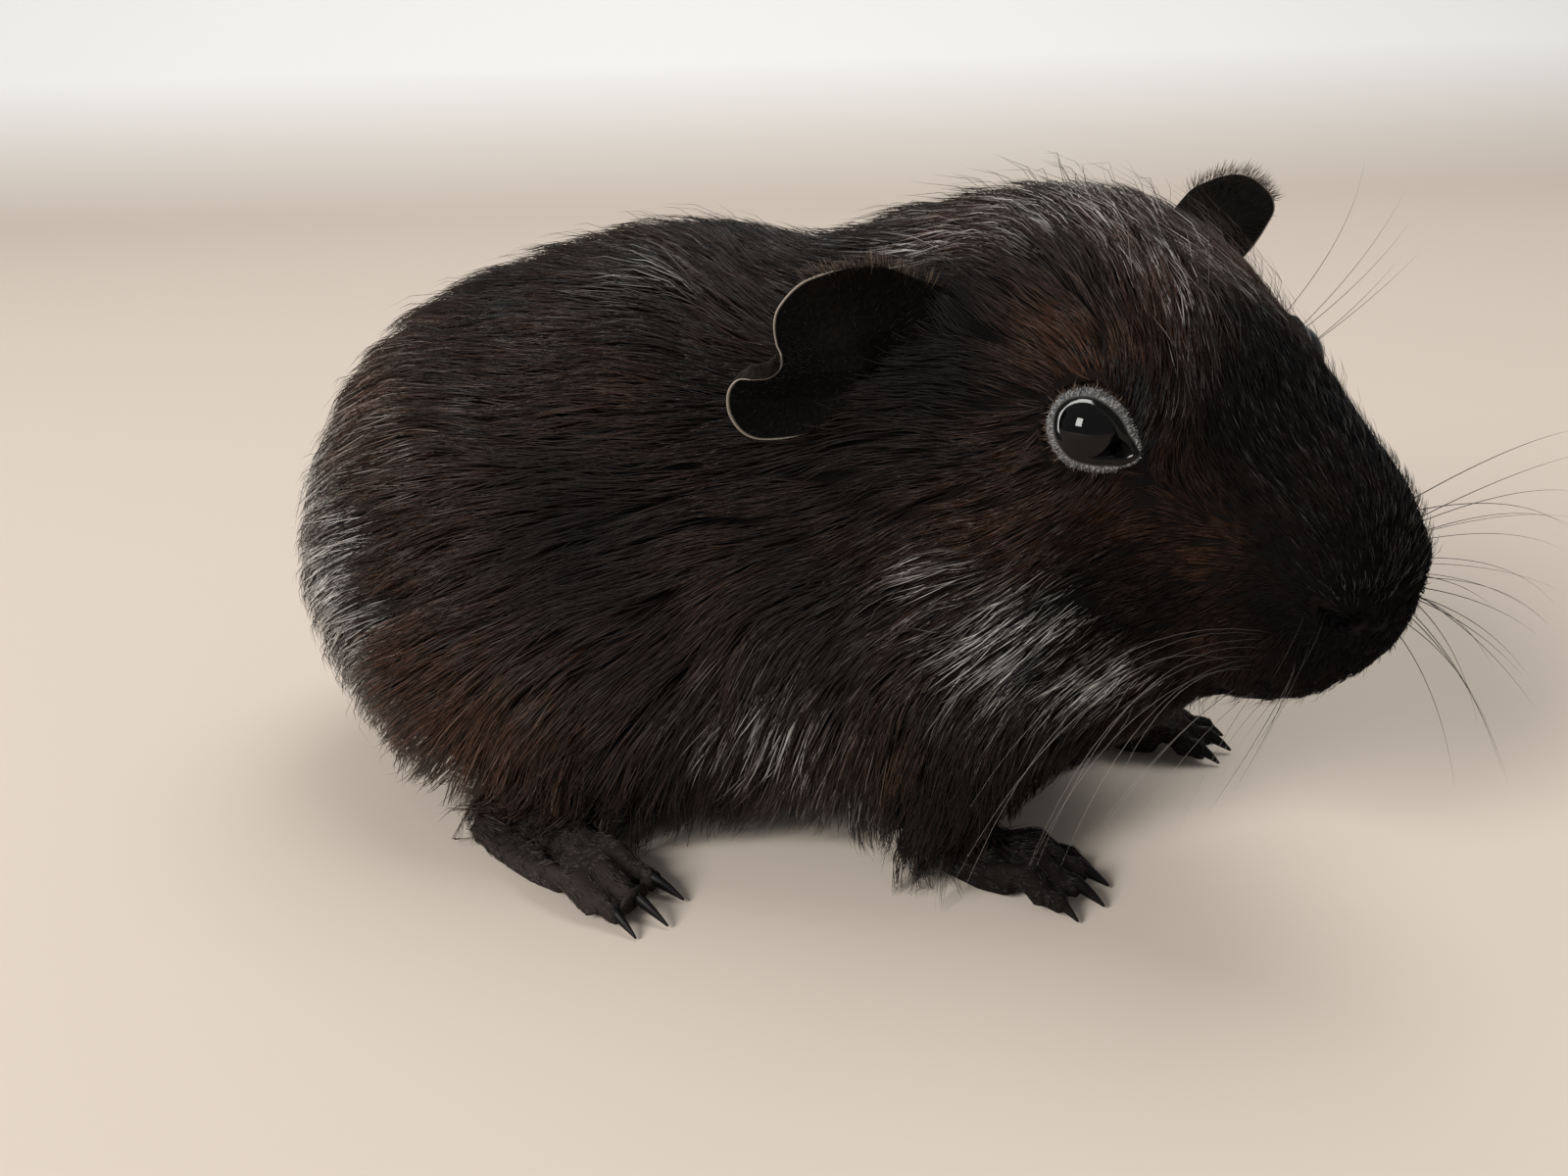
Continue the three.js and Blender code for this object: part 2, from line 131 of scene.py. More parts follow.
def addAttribute(mesh, name, values):
    # one number for each vertex, read by the materials
    mesh.attributes.new(name, "FLOAT", "POINT").data.foreach_set("value", values.astype(np.float32))


def gridFaces(rows, columns, closeRows=False, closeColumns=False):
    # quads of a grid whose points run row by row, joined end to start where asked
    r = np.arange(rows if closeRows else rows - 1)
    c = np.arange(columns if closeColumns else columns - 1)
    r, c = np.meshgrid(r, c, indexing="ij")
    up, right = (r + 1) % rows, (c + 1) % columns
    corners = [r * columns + c, r * columns + right, up * columns + right, up * columns + c]
    return np.stack(corners, axis=-1).reshape(-1, 4)


def repeated(faces, count, each):
    # the triangles of count bodies alike, each with that many points
    return (faces[None] + np.arange(count)[:, None, None] * each).reshape(-1, 3)


def toTriangles(quads):
    return np.concatenate([quads[:, [0, 1, 2]], quads[:, [0, 2, 3]]])


def latheFaces(rows, columns, flip=False):
    # triangles of a closed body made of rings of points, with one point before and one after them
    faces = toTriangles(gridFaces(rows, columns, closeColumns=True)) + 1
    ring = np.arange(columns)
    after = (ring + 1) % columns
    first = np.column_stack([np.zeros(columns, int), after + 1, ring + 1])
    start = 1 + (rows - 1) * columns
    last = np.column_stack([np.full(columns, 1 + rows * columns), start + ring, start + after])
    faces = np.concatenate([faces, first, last])
    return faces[:, ::-1] if flip else faces


# places on the animal, from the frame
eyes = {side: nodeCentre(f"eye_{side}") for side in ("right", "left")}
sideways = {"right": -1, "left": 1}
feetNodes = [f"{end}_foot_{side}" for end in ("hind", "front") for side in ("right", "left")]
legNodes = [f"{end}_leg_{side}" for end in ("hind", "front") for side in ("right", "left")]
fleshNodes = ["trunk", "neck", "head", *legNodes, *feetNodes]

# The head's own axes. The line between the eyes gives its turn and its roll, and the nose dips.
headSettings = dict(
    dip=6,  # degrees, nose down
    eyePlace=(22.6, 15.7, -7.4),  # mm from the middle between the ears: ahead, aside, up
    noseTip=(56.5, 0, -23),  # mm, in the head's own axes
)


def headAxes(dip, eyePlace):
    # columns: forwards, to the animal's left, up; and the point midway between the ears
    across = unit(eyes["left"] - eyes["right"])
    roll = math.asin(across[2] / math.cos(dip))
    flat = math.atan2(math.cos(roll), math.sin(roll) * math.sin(dip))
    yaw = math.atan2(across[1], across[0]) - flat
    cy, sy, cp, sp, cr, sr = (f(a) for a in (yaw, dip, roll) for f in (math.cos, math.sin))
    turn = np.array([[cy, -sy, 0], [sy, cy, 0], [0, 0, 1]])
    pitch = np.array([[cp, 0, sp], [0, 1, 0], [-sp, 0, cp]])
    lean = np.array([[1, 0, 0], [0, cr, -sr], [0, sr, cr]])
    axes = turn @ pitch @ lean
    middle = (eyes["left"] + eyes["right"]) / 2
    return axes, middle - axes @ np.array([eyePlace[0], 0, eyePlace[2]])


headTurn, headOrigin = headAxes(math.radians(headSettings["dip"]), headSettings["eyePlace"])


def intoHead(points):
    return (points - headOrigin) @ headTurn


def outOfHead(points):
    return np.asarray(points, float) @ headTurn.T + headOrigin


noseTip = outOfHead(headSettings["noseTip"])
print("frame read, nose at", noseTip.round(1))


cameraSettings = dict(
    azimuth=26,  # degrees round from the animal's right side towards its face
    elevation=20,
    roll=-1.7,
    distance=219.3,  # mm to the middle of the box
    right=-3.8,  # how far the view's centre is shifted off that middle
    up=-13.9,
    lens=33.75,
)


def turnTo(thing, right, up, back, place):
    # stands a camera or a light at a place, in metres, with its back and its right and upper sides
    pose = np.eye(4)
    pose[:3] = np.column_stack([right, up, back, place])
    thing.matrix_world = Matrix(pose.tolist())


def addCamera(azimuth, elevation, roll, distance, right, up, lens):
    # looks at the middle of the CAD box from that side and height, then shifts in its own plane
    a, e, r = np.radians([azimuth, elevation, roll])
    back = np.array([math.sin(a) * math.cos(e), -math.cos(a) * math.cos(e), math.sin(e)])
    level = np.array([math.cos(a), math.sin(a), 0])
    rise = np.cross(back, level)
    place = np.mean(cadBox, axis=0) + (back * distance + level * right + rise * up) / 1000
    aside = level * math.cos(r) + rise * math.sin(r)
    above = rise * math.cos(r) - level * math.sin(r)
    data = bpy.data.cameras.new("camera")
    data.lens = lens
    data.sensor_width = 36
    data.clip_start = 0.01
    camera = addObject("camera", data)
    turnTo(camera, aside, above, back, place)
    bpy.context.scene.camera = camera


addCamera(**cameraSettings)


def linear(hexColour):
    # sRGB hex to linear red, green, blue and alpha
    parts = [int(hexColour[i : i + 2], 16) / 255 for i in (1, 3, 5)]
    return [c / 12.92 if c <= 0.04045 else ((c + 0.055) / 1.055) ** 2.4 for c in parts] + [1]


def newMaterial(name, values):
    # values: what is the same all over the surface, by the names of the shader's sockets
    material = bpy.data.materials.new(name)
    material.use_nodes = True
    shader = material.node_tree.nodes["Principled BSDF"]
    for socket, value in values.items():
        shader.inputs[socket].default_value = value
    return material, material.node_tree, shader


def addNode(tree, kind, values=None, links=None, stops=(), **settings):
    # a node with its settings, its input values, its input links (socket: output) and, on a
    # colour ramp, its stops (place, hex colour)
    node = tree.nodes.new("ShaderNode" + kind)
    for key, value in settings.items():
        setattr(node, key, value)
    for key, value in (values or {}).items():
        node.inputs[key].default_value = value
    for key, source in (links or {}).items():
        tree.links.new(source, node.inputs[key])
    if stops:
        elements = node.color_ramp.elements
        for place, _ in stops[2:]:
            elements.new(place)
        for element, (place, colour) in zip(elements, stops):
            element.position = place
            element.color = linear(colour)
    return node


def rampMaterial(name, attribute, stops, values):
    # a material whose colour runs along a ramp by an attribute of its piece
    material, tree, shader = newMaterial(name, values)
    place = addNode(tree, "Attribute", attribute_name=attribute).outputs["Fac"]
    colour = addNode(tree, "ValToRGB", {}, {"Fac": place}, stops).outputs["Color"]
    tree.links.new(colour, shader.inputs["Base Color"])
    return material, tree, shader, place


studioSettings = dict(
    reach=(-1600, 900),  # mm, of the flat floor before and behind the animal
    bend=900,  # mm, radius of the curve up into the backdrop
    height=1500,
    breadth=2600,
    floorColour="#c9bdb1",
    wallColour="#f2f2f1",  # from 100 mm up
    skyColour="#f4f3f1",
    skyStrength=0.36,
)


def addStudio(reach, bend, height, breadth, floorColour, wallColour, skyColour, skyStrength):
    # a sheet that lies flat under the animal and curves up far behind it, square to the camera
    t = np.linspace(0, math.pi / 2, 24)
    along = np.concatenate([[reach[0]], reach[1] + bend * np.sin(t), [reach[1] + bend]])
    rise = np.concatenate([[0], bend * (1 - np.cos(t)), [bend + height]])
    a = math.radians(cameraSettings["azimuth"])
    away, level = np.array([-math.sin(a), math.cos(a), 0]), np.array([math.cos(a), math.sin(a), 0])
    line = away * along[:, None] + np.array([0, 0, 1]) * rise[:, None]
    points = np.stack([line - level * breadth, line + level * breadth], axis=1).reshape(-1, 3)
    mesh = makeMesh("floor", points, gridFaces(len(line), 2))
    floor = addObject("floor", mesh)
    # matt paper takes soft shadows and gives no shine; it is warm underfoot, paler up the backdrop
    material, tree, shader = newMaterial(
        "matt pale studio paper", {"Roughness": 0.9, "Specular IOR Level": 0.2}
    )
    where = addNode(tree, "SeparateXYZ", {}, {0: addNode(tree, "TexCoord").outputs["Object"]})
    stops = [(0, floorColour), (0.1, wallColour)]
    tones = addNode(tree, "ValToRGB", {}, {"Fac": where.outputs["Z"]}, stops)
    tree.links.new(tones.outputs["Color"], shader.inputs["Base Color"])
    mesh.materials.append(material)
    world = bpy.data.worlds.new("studio")
    world.use_nodes = True
    sky = world.node_tree.nodes["Background"].inputs
    sky["Color"].default_value = linear(skyColour)
    sky["Strength"].default_value = skyStrength
    bpy.context.scene.world = world
    bpy.context.scene.view_settings.view_transform = "Standard"


def addLight(name, place, aim, size, power, colour="#ffffff"):
    # a soft box: place, aim, and size across and up in mm
    data = bpy.data.lights.new(name, "AREA")
    data.shape = "RECTANGLE"
    data.size, data.size_y = size[0] / 1000, size[1] / 1000
    data.energy = power
    data.color = linear(colour)[:3]
    back = unit(np.subtract(place, aim))
    level = unit(np.cross([0, 0, 1], back))
    turnTo(addObject(name, data), level, np.cross(back, level), back, np.array(place) / 1000)


addStudio(**studioSettings)
addLight("window", (-560, -1640, 1000), (0, 0, 50), (580, 800), 46, "#fffdf9")
addLight("ceiling", (100, 500, 1700), (0, 0, 50), (1200, 1200), 14)
print("camera, floor and lights placed")


# the coat grows longer, deeper and coarser away from the nose
coatSettings = dict(
    stops=(0, 10, 20, 30, 42, 56, 80, 115),  # mm from the tip of the nose
    length=(1.1, 1.8, 3.6, 6.5, 10.0, 12.5, 15.0, 16.5),  # mm, of one hair
    depth=(0.35, 0.45, 0.8, 1.3, 2.0, 3.0, 4.0, 4.6),  # mm, skin to coat tips
    width=(0.12, 0.12, 0.12, 0.125, 0.14, 0.17, 0.2, 0.21),  # mm, of a strand at its widest
    cover=(2.5, 2.7, 3.9, 5.0, 5.9, 6.3, 6.6, 6.7),  # how many strands deep the coat lies
    onFeet=dict(length=1.5, depth=0.12, width=0.09, cover=1.1),
    beneath=0.3,  # share of the cover where the belly faces the floor
    hidden=16,  # mm up, below which it does
    byEyes=dict(length=0.6, depth=0.4, width=0.75, cover=1.0),  # shares of what it would be
    eyeReach=7.5,  # mm round each eye where the hair is short
)


def footNearness(points):
    # 1 on the toes and the front of each foot, 0 at its heel and up in the leg's coat
    near = np.zeros(len(points))
    for node in feetNodes:
        low, high = nodeBox(node)
        away = np.linalg.norm(np.maximum(np.maximum(low - points, points - high), 0), axis=1)
        ahead = ramp((points[:, 0] - low[0]) / (high[0] - low[0]), 0.3, 0.75)
        height = 1 - ramp(points[:, 2], 4.5 + 1.5 * ahead, 6 + 3.5 * ahead)
        near = np.maximum(near, (1 - ramp(away, 0.3, 3)) * height)
    return near


def eyeNearness(points):
    reach = coatSettings["eyeReach"]
    return sum(nearTo(points, eyes[side], reach) for side in eyes)


def coatMeasure(points, key):
    # grows with the distance from the nose, with its own value on the feet and less round the eyes
    value = np.interp(np.linalg.norm(points - noseTip, axis=1), coatSettings["stops"], coatSettings[key])
    value = value * (1 - (1 - coatSettings["byEyes"][key]) * np.minimum(eyeNearness(points), 1))
    foot = footNearness(points)
    return value * (1 - foot) + coatSettings["onFeet"][key] * foot


def coatDepth(points):
    return coatMeasure(points, "depth")


# Brown runs through the black coat in soft patches. The pale patches are painted sheen, where light glints on
# the hair. The black patches are black hair on the muzzle and chin and painted shade in the hollows and folds
# of the body, under the belly and round the ears. Each row: where (mm, in the part's frame or the head's),
# how far it reaches, how strong it is.
brownPatches = dict(
    part=[
        ((-20, -42, 45), 34, 0.4), ((-32, -45, 28), 22, 0.75), ((-50, -30, 64), 18, 0.6),
        ((8, -38, 34), 20, 0.4), ((24, -30, 60), 15, 0.25), ((-10, -38, 14), 20, 0.3),
    ],
    head=[
        ((0, -10, 13), 11, 0.5), ((14, -4, 12), 9, 0.6), ((26, -6, 6), 7, 0.6), ((31, -9, 0), 5, 0.4),
        ((17, -17, 2), 7, 0.9), ((24, -15, 0), 5, 1.0), ((16, -19, -8), 5, 0.8), ((24, -17, -16), 5, 0.5),
        ((42, -12, -18), 3.5, 0.9), ((43, -12, -27), 4, 0.9), ((31, -15, -16), 7, 0.35),
        ((16, -26, -16), 12, 0.3),
    ],
)
# black hair on the muzzle, the bridge of the nose and the chin; painted shade in the hollow of the flank, the
# fold between the arm and the flank, under the belly and under and behind the ears
blackAndShadePatches = dict(
    part=[
        ((-10, -37, 52), 15, 1.0), ((20, -28, 60), 9, 0.8), ((15, -33, 42), 10, 0.7),
        ((-6, -36, 7), 14, 0.8), ((-4, -37, 49), 8, 1.0), ((0, -37, 42), 8, 1.0), ((3, -38, 33), 8, 1.0),
        ((4, -38, 24), 8, 1.0), ((1, -37, 14), 9, 0.9),
    ],
    head=[
        ((9, -21, 4), 9, 1.0), ((-1, -20, 8), 6, 0.7), ((16, -13, 8), 5, 0.8), ((8, -24, 0), 11, 1.0),
        ((3, -26, -8), 10, 0.8), ((54, -4, -23), 20, 1.0), ((41, -3, -5), 13, 0.95),
        ((46, 0, -38), 11, 1.0), ((30, -14, 0), 3, 0.6),
    ],
)
# painted sheen: the hair is painted pale where light glints on it, over the jowls, the crown, the nape, the
# arm, the thigh, the edge of the rump and the ridge over each nostril
paintedSheenPatches = dict(
    part=[
        ((13, -37, 28), 10, 0.6), ((18, -36, 16), 8, 0.72), ((-8, -16, 81), 9, 0.42),
        ((-60, -38, 38), 15, 1.15), ((-67, -29, 50), 13, 1.0), ((-56, -34, 24), 12, 0.85),
        ((-54, -30, 62), 18, 0.4), ((-24, -44, 18), 15, 0.18),
    ],
    head=[
        ((24, -27, -31), 9, 0.72), ((31, -20, -38), 7, 0.75), ((17, -32, -24), 6, 0.6),
        ((5, -6, 14), 9, 0.6), ((-5, -13, 12), 9, 0.6), ((14, -2, 13), 8, 0.55), ((23, -4, 9), 7, 0.5),
        ((29, -6, 4), 5, 0.45), ((32, -10, -1), 3.5, 0.36), ((31, -14, -6), 2.6, 0.5),
        ((52.5, -7.6, -20.4), 2.4, 0.16),
    ],
)


def patches(points, places):
    # the strongest of the soft patches at each point, mirrored to the animal's other side too
    level = np.zeros(len(points))
    for side in ([1, 1, 1], [1, -1, 1]):
        for row, local in (("part", points), ("head", intoHead(points))):
            for centre, reach, strength in places[row]:
                level = np.maximum(level, strength * nearTo(local, np.array(centre) * side, reach))
    return level


def markingsSheenAndShade(points):
    # how brown the coat is at each point, how much sheen is painted on it, and how strong the black patches
    # are, black hair and painted shade; the black patches hold no brown
    brown = 0.12 + patches(points, brownPatches)
    brown = brown + 0.12 * ripple(points, 19, 21) + 0.12 * ripple(points, 6, 22)
    paintedSheen = patches(points, paintedSheenPatches) * (1 + 0.3 * ripple(points, 6, 23))
    # black hair and painted shade: no brown there, and no shine
    black = patches(points, blackAndShadePatches)
    brown, foot = brown * (1 - black), footNearness(points)
    return np.clip(brown * (1 - foot), 0, 1), np.clip(paintedSheen * (1 - foot), 0, 1.3), black


def addMarkingsSheenAndShade(mesh, points, repeat=1):
    # matt carries the black patches, painted shade among them, to the materials
    for name, values in zip(("brown", "paintedSheen", "matt"), markingsSheenAndShade(points)):
        addAttribute(mesh, name, np.repeat(values, repeat))


skinSettings = dict(
    grow=0.4,  # mm, closes the cuts between the nodes
    voxel=0.00072,  # m
    rounds=26,  # of smoothing, to take off the facets of the solids
)


def vertexNormals(points, faces):
    # the area-weighted mean of the normals of the faces round each vertex
    a, b, c = (points[faces[:, i]] for i in (0, 1, 2))
    normals = np.zeros_like(points)
    faceNormals = np.cross(b - a, c - a)
    if faces.shape[1] == 4:
        faceNormals = np.cross(c - a, points[faces[:, 3]] - b)
    for corner in faces.T:
        for axis in range(3):
            normals[:, axis] += np.bincount(corner, faceNormals[:, axis], len(points))
    return unit(normals)


def smoothed(points, faces, rounds, strength):
    # moves each vertex towards the mean of its neighbours, then a little more back out, so that
    # bumps go and the volume stays; strength is 0 to 1 for each vertex
    edges = np.concatenate([faces[:, [i, (i + 1) % faces.shape[1]]] for i in range(faces.shape[1])])
    edges = np.concatenate([edges, edges[:, ::-1]])
    degree = np.bincount(edges[:, 0], minlength=len(points))[:, None]
    for step in np.tile([0.6, -0.62], rounds):
        total = np.column_stack(
            [np.bincount(edges[:, 0], points[edges[:, 1], axis], len(points)) for axis in range(3)]
        )
        points = points + (total / degree - points) * step * strength[:, None]
    return points


def clawLine(node):
    # the root and the tip of a CAD claw: its corners nearest to and farthest from its foot's middle
    corners = meshPoints(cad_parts[node].data)
    foot = nodeCentre(node.replace("claw", "foot")[: node.rindex("_")])
    away = np.linalg.norm(corners[:, :2] - foot[:2], axis=1)
    atRoot = away < away.min() + 1.2  # mm
    return corners[atRoot].mean(axis=0), corners[np.argmax(away)]


def joinedFlesh(grow):
    # copies of the CAD nodes of flesh, merged and swollen by grow so that they run together
    allPoints, allFaces, offset = [], [], 0
    for node in fleshNodes:
        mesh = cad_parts[node].data
        points = meshPoints(mesh)
        mesh.calc_loop_triangles()
        faces = np.empty(len(mesh.loop_triangles) * 3, np.int32)
        mesh.loop_triangles.foreach_get("vertices", faces)
        _, first, place = np.unique(points.round(3), axis=0, return_index=True, return_inverse=True)
        points, faces = points[first], place.reshape(-1)[faces].reshape(-1, 3)
        allPoints.append(points + vertexNormals(points, faces) * grow)
        allFaces.append(faces + offset)
        offset += len(points)
    return np.concatenate(allPoints), np.concatenate(allFaces)


toeSettings = dict(
    size=(0.42, 1.35, 1.8),  # half lengths: along as a share of the claw, across and up in mm
    ahead=0.2,  # share of the claw's length from its root to the toe's middle
    down=0.2,  # mm
    rings=9,
    spokes=16,
)


def addToes(points, faces, size, ahead, down, rings, spokes):
    # an ellipsoid round the root of each claw, its three half axes along, across and up, so that
    # the toes reach out over the claws
    turn = np.linspace(0, 2 * math.pi, spokes, endpoint=False)
    turn, tilt = np.meshgrid(turn, np.linspace(0.05, math.pi - 0.05, rings))
    ball = [np.cos(tilt), np.sin(tilt) * np.cos(turn), np.sin(tilt) * np.sin(turn)]
    ball = np.stack(ball, axis=-1).reshape(-1, 3)
    # the small first and last rings are closed with a fan each
    fan = np.arange(1, spokes - 1)
    first = np.column_stack([0 * fan, fan + 1, fan])
    last = np.column_stack([0 * fan, fan, fan + 1]) + (rings - 1) * spokes
    ballFaces = np.concatenate([toTriangles(gridFaces(rings, spokes, closeColumns=True)), first, last])
    for root, tip in [clawLine(node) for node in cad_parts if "_claw_" in node]:
        long = np.linalg.norm(tip - root)
        along = unit(tip - root)
        across = unit(np.cross([0, 0, 1], along))
        axes = np.stack([along * size[0] * long, across * size[1], np.cross(along, across) * size[2]])
        toe = root + along * long * ahead + [0, 0, -down] + ball @ axes
        toe[:, 2] = np.maximum(toe[:, 2], 0.3)
        faces = np.concatenate([faces, ballFaces + len(points)])
        points = np.concatenate([points, toe])
    return points, faces


def evaluated(points, faces, kind, **settings):
    # the points of a mesh after one modifier, and the corners of its faces one after the other
    holder = addObject("holder", makeMesh("holder", points, faces))
    modifier = holder.modifiers.new("work", kind)
    for key, value in settings.items():
        setattr(modifier, key, value)
    result = holder.evaluated_get(bpy.context.evaluated_depsgraph_get()).to_mesh()
    newPoints = meshPoints(result)
    corners = np.empty(len(result.loops), np.int32)
    result.loops.foreach_get("vertex_index", corners)
    bpy.data.objects.remove(holder)
    return newPoints, corners


def roundCurve(points, count):
    # a smooth closed curve through the points, by Catmull and Rom's formula, evenly in parameter
    points = np.array(points, float)
    n = len(points)
    at = np.arange(count) / count * n
    i = at.astype(int)
    t = (at - i)[:, None]
    a, b, c, d = (points[(i + k) % n] for k in (-1, 0, 1, 2))
    return 0.5 * (2 * b + (c - a) * t + (2 * a - 5 * b + 4 * c - d) * t**2 + (3 * b - a - 3 * c + d) * t**3)


eyeSettings = dict(
    axis=(0.48, 0.9, 0.22),  # which way the left eye looks, in the head's frame
    under=4.3,  # mm from the centre, of the skin behind the ball
    sunk=1.4,  # mm, of the skin behind the inner corner, under the edge of the lids
    far=13,  # mm, where the eye no longer shapes the skin
    bare=1.0,  # mm, how wide the rim without fur is
    rim=1.1,  # mm, how far out the skin rises under the lids
    slope=0.3,  # how steeply it rises
    cover=(0.45, 0.75),  # mm under the edge of the lids, for the highest and the lowest skin there
    flare=0.15,  # past the rim: the highest it may be, rising with the square of the distance
    fall=0.5,  # past the rim: the lowest it may be, falling
)

# The edge of the lids, where the wet black margin meets the downy rim, from the inner corner over
# the top and round: ahead, up and out along the eye's axis from its centre, mm.
lidEdge = [
    (6.97, -1.20, 2.17), (6.18, -0.01, 2.00), (5.26, 1.13, 2.42), (4.08, 2.65, 2.67), (2.26, 3.91, 3.00),
    (0.05, 4.40, 3.13), (-2.14, 3.63, 3.37), (-3.25, 2.02, 3.81), (-2.95, 0.08, 4.52), (-1.90, -1.51, 4.82),
    (-0.14, -2.91, 4.54), (2.11, -3.19, 3.89), (3.85, -3.01, 3.12), (5.56, -2.59, 2.43),
]
lidRing = roundCurve(lidEdge, 240)


def eyeAxes(side):
    # columns: ahead, up, and out along the eye's axis
    out = unit(headTurn @ (np.array(eyeSettings["axis"]) * [1, sideways[side], 1]))
    ahead = unit(headTurn[:, 0] - out * (headTurn[:, 0] @ out))
    up = np.cross(ahead, out) if side == "left" else np.cross(out, ahead)
    return np.column_stack([ahead, up, out])


def roundEye(points, side):
    # each point in the eye's own axes, how far it lies outside the edge of the lids, measured round
    # the eye, and how far from the eye's centre that edge is on its side
    local = (points - eyes[side]) @ eyeAxes(side)
    (turn, tilt), (edgeTurn, edgeTilt) = (
        (np.arctan2(p[:, 1], p[:, 0]), np.arctan2(np.hypot(p[:, 0], p[:, 1]), p[:, 2]))
        for p in (local, lidRing)
    )
    edge = np.interp(turn, edgeTurn, np.linalg.norm(lidRing, axis=1), period=2 * math.pi)
    return local, (tilt - np.interp(turn, edgeTurn, edgeTilt, period=2 * math.pi)) * edge, edge


def setInEyes(points):
    # sinks the skin behind the eyeball inside the edge of the lids, keeps it just under the lids
    # and lets it go over into the head beyond them
    for side in eyes:
        local, beyond, edge = roundEye(points, side)
        far = np.linalg.norm(local, axis=1)
        rim, slope, (high, low) = (eyeSettings[key] for key in ("rim", "slope", "cover"))
        outside, past = ramp(beyond, -1, 0), np.maximum(beyond - rim, 0)
        inside = np.maximum(eyeSettings["under"], edge - eyeSettings["sunk"])
        rise = slope * np.clip(beyond, 0, rim)
        most = inside + (edge - high - inside) * outside + rise
        most = most + slope * past + eyeSettings["flare"] * past**2
        least = (edge - low) * outside + rise - eyeSettings["fall"] * past
        wanted = np.clip(far, least, np.maximum(most, least))
        near = (local[:, 2] > -2) & (far < eyeSettings["far"])
        moved = eyes[side] + (points - eyes[side]) * (wanted / far)[:, None]
        points = np.where(near[:, None], moved, points)
    return points


# Fine shapes of the muzzle on the right side, mirrored to the left: a line through places in the
# head's frame, how wide it is and how far it is pressed in (less than 0: raised), in mm.
muzzleShapes = [
    # nostril, its upper rim and its outer rim
    ([(51.6, -8.4, -21.6), (52.3, -7.3, -23.4), (53.2, -5.9, -24.5), (54.0, -4.4, -24.9)], 0.8, 1.6),
    ([(51.4, -8.6, -18.8), (52.8, -7.6, -21.0), (54.4, -5.9, -22.4)], 1.2, -0.6),
    ([(50.6, -9.4, -21.6), (50.8, -9.2, -23.6), (51.6, -8.5, -25.2)], 1.0, -0.5),
    # mouth, and the groove below the nose
    ([(36.0, -11.0, -35.6), (42.0, -8.6, -36.8), (46.5, -4.5, -36.6), (48.5, 0.0, -36.0)], 0.9, 1.1),
    ([(57.0, 0.0, -25.5), (54.5, 0.0, -30.0), (51.0, 0.0, -34.5)], 0.8, 0.4),
    # crease behind the nostril, and the pad of the whiskers
    ([(46.1, -10.9, -16.5), (44.8, -11.6, -16.4)], 0.9, 0.9),
    ([(47.5, -10.6, -21.0), (46.0, -11.6, -27.0)], 3.4, -0.8),
]
noseShape = ([(58, 0, -16), (58, 0, -23), (55, 0, -29)], 6, 1.2)  # rounds the tip, in the same way


def awayFromLine(points, line):
    # the distance from each point to a line through several places
    nearest = np.full(len(points), np.inf)
    for start, end in zip(line[:-1], line[1:]):
        along = end - start
        share = np.clip((points - start) @ along / (along @ along), 0, 1)
        nearest = np.minimum(nearest, np.linalg.norm(points - start - share[:, None] * along, axis=1))
    return nearest


def pressedBy(local, shapes):
    # how far lines press the skin in, each as a bell curve of the distance from it
    away = [awayFromLine(local, np.array(line)) for line, _, _ in shapes]
    return sum(deep * np.exp(-((a / wide) ** 2)) for a, (_, wide, deep) in zip(away, shapes))


def onRightSide(points):
    # the points in the head's frame, those of its left side mirrored to the right
    local = intoHead(points)
    local[:, 1] = -np.abs(local[:, 1])
    return local


def pressed(points):
    return pressedBy(onRightSide(points), muzzleShapes)


def noseBareness(points):
    # 1 on the bare leather round each nostril, 0 inside the nostril and where hair grows
    away = awayFromLine(onRightSide(points), np.array(muzzleShapes[0][0]))
    return (1 - ramp(away, 0.7, 1.6)) * (1 - ramp(pressed(points), 0.4, 0.9))


def makeSkinShape(grow, voxel, rounds):
    points, faces = addToes(*joinedFlesh(grow), **toeSettings)
    points, corners = evaluated(points, faces, "REMESH", mode="VOXEL", voxel_size=voxel)
    faces = corners.reshape(-1, 4)
    strength = 1 - 0.5 * footNearness(points)
    points = smoothed(points, faces, rounds, strength)
    points = points - vertexNormals(points, faces) * coatDepth(points)[:, None]
    points = smoothed(points, faces, 4, strength)
    points = setInEyes(points)
    press = pressed(points) + pressedBy(intoHead(points), [noseShape])
    points = points - vertexNormals(points, faces) * press[:, None]
    points[:, 2] = np.maximum(points[:, 2], 0.05)
    return points, faces


skinPoints, skinFaces = makeSkinShape(**skinSettings)
print("skin shape:", len(skinPoints), "points")


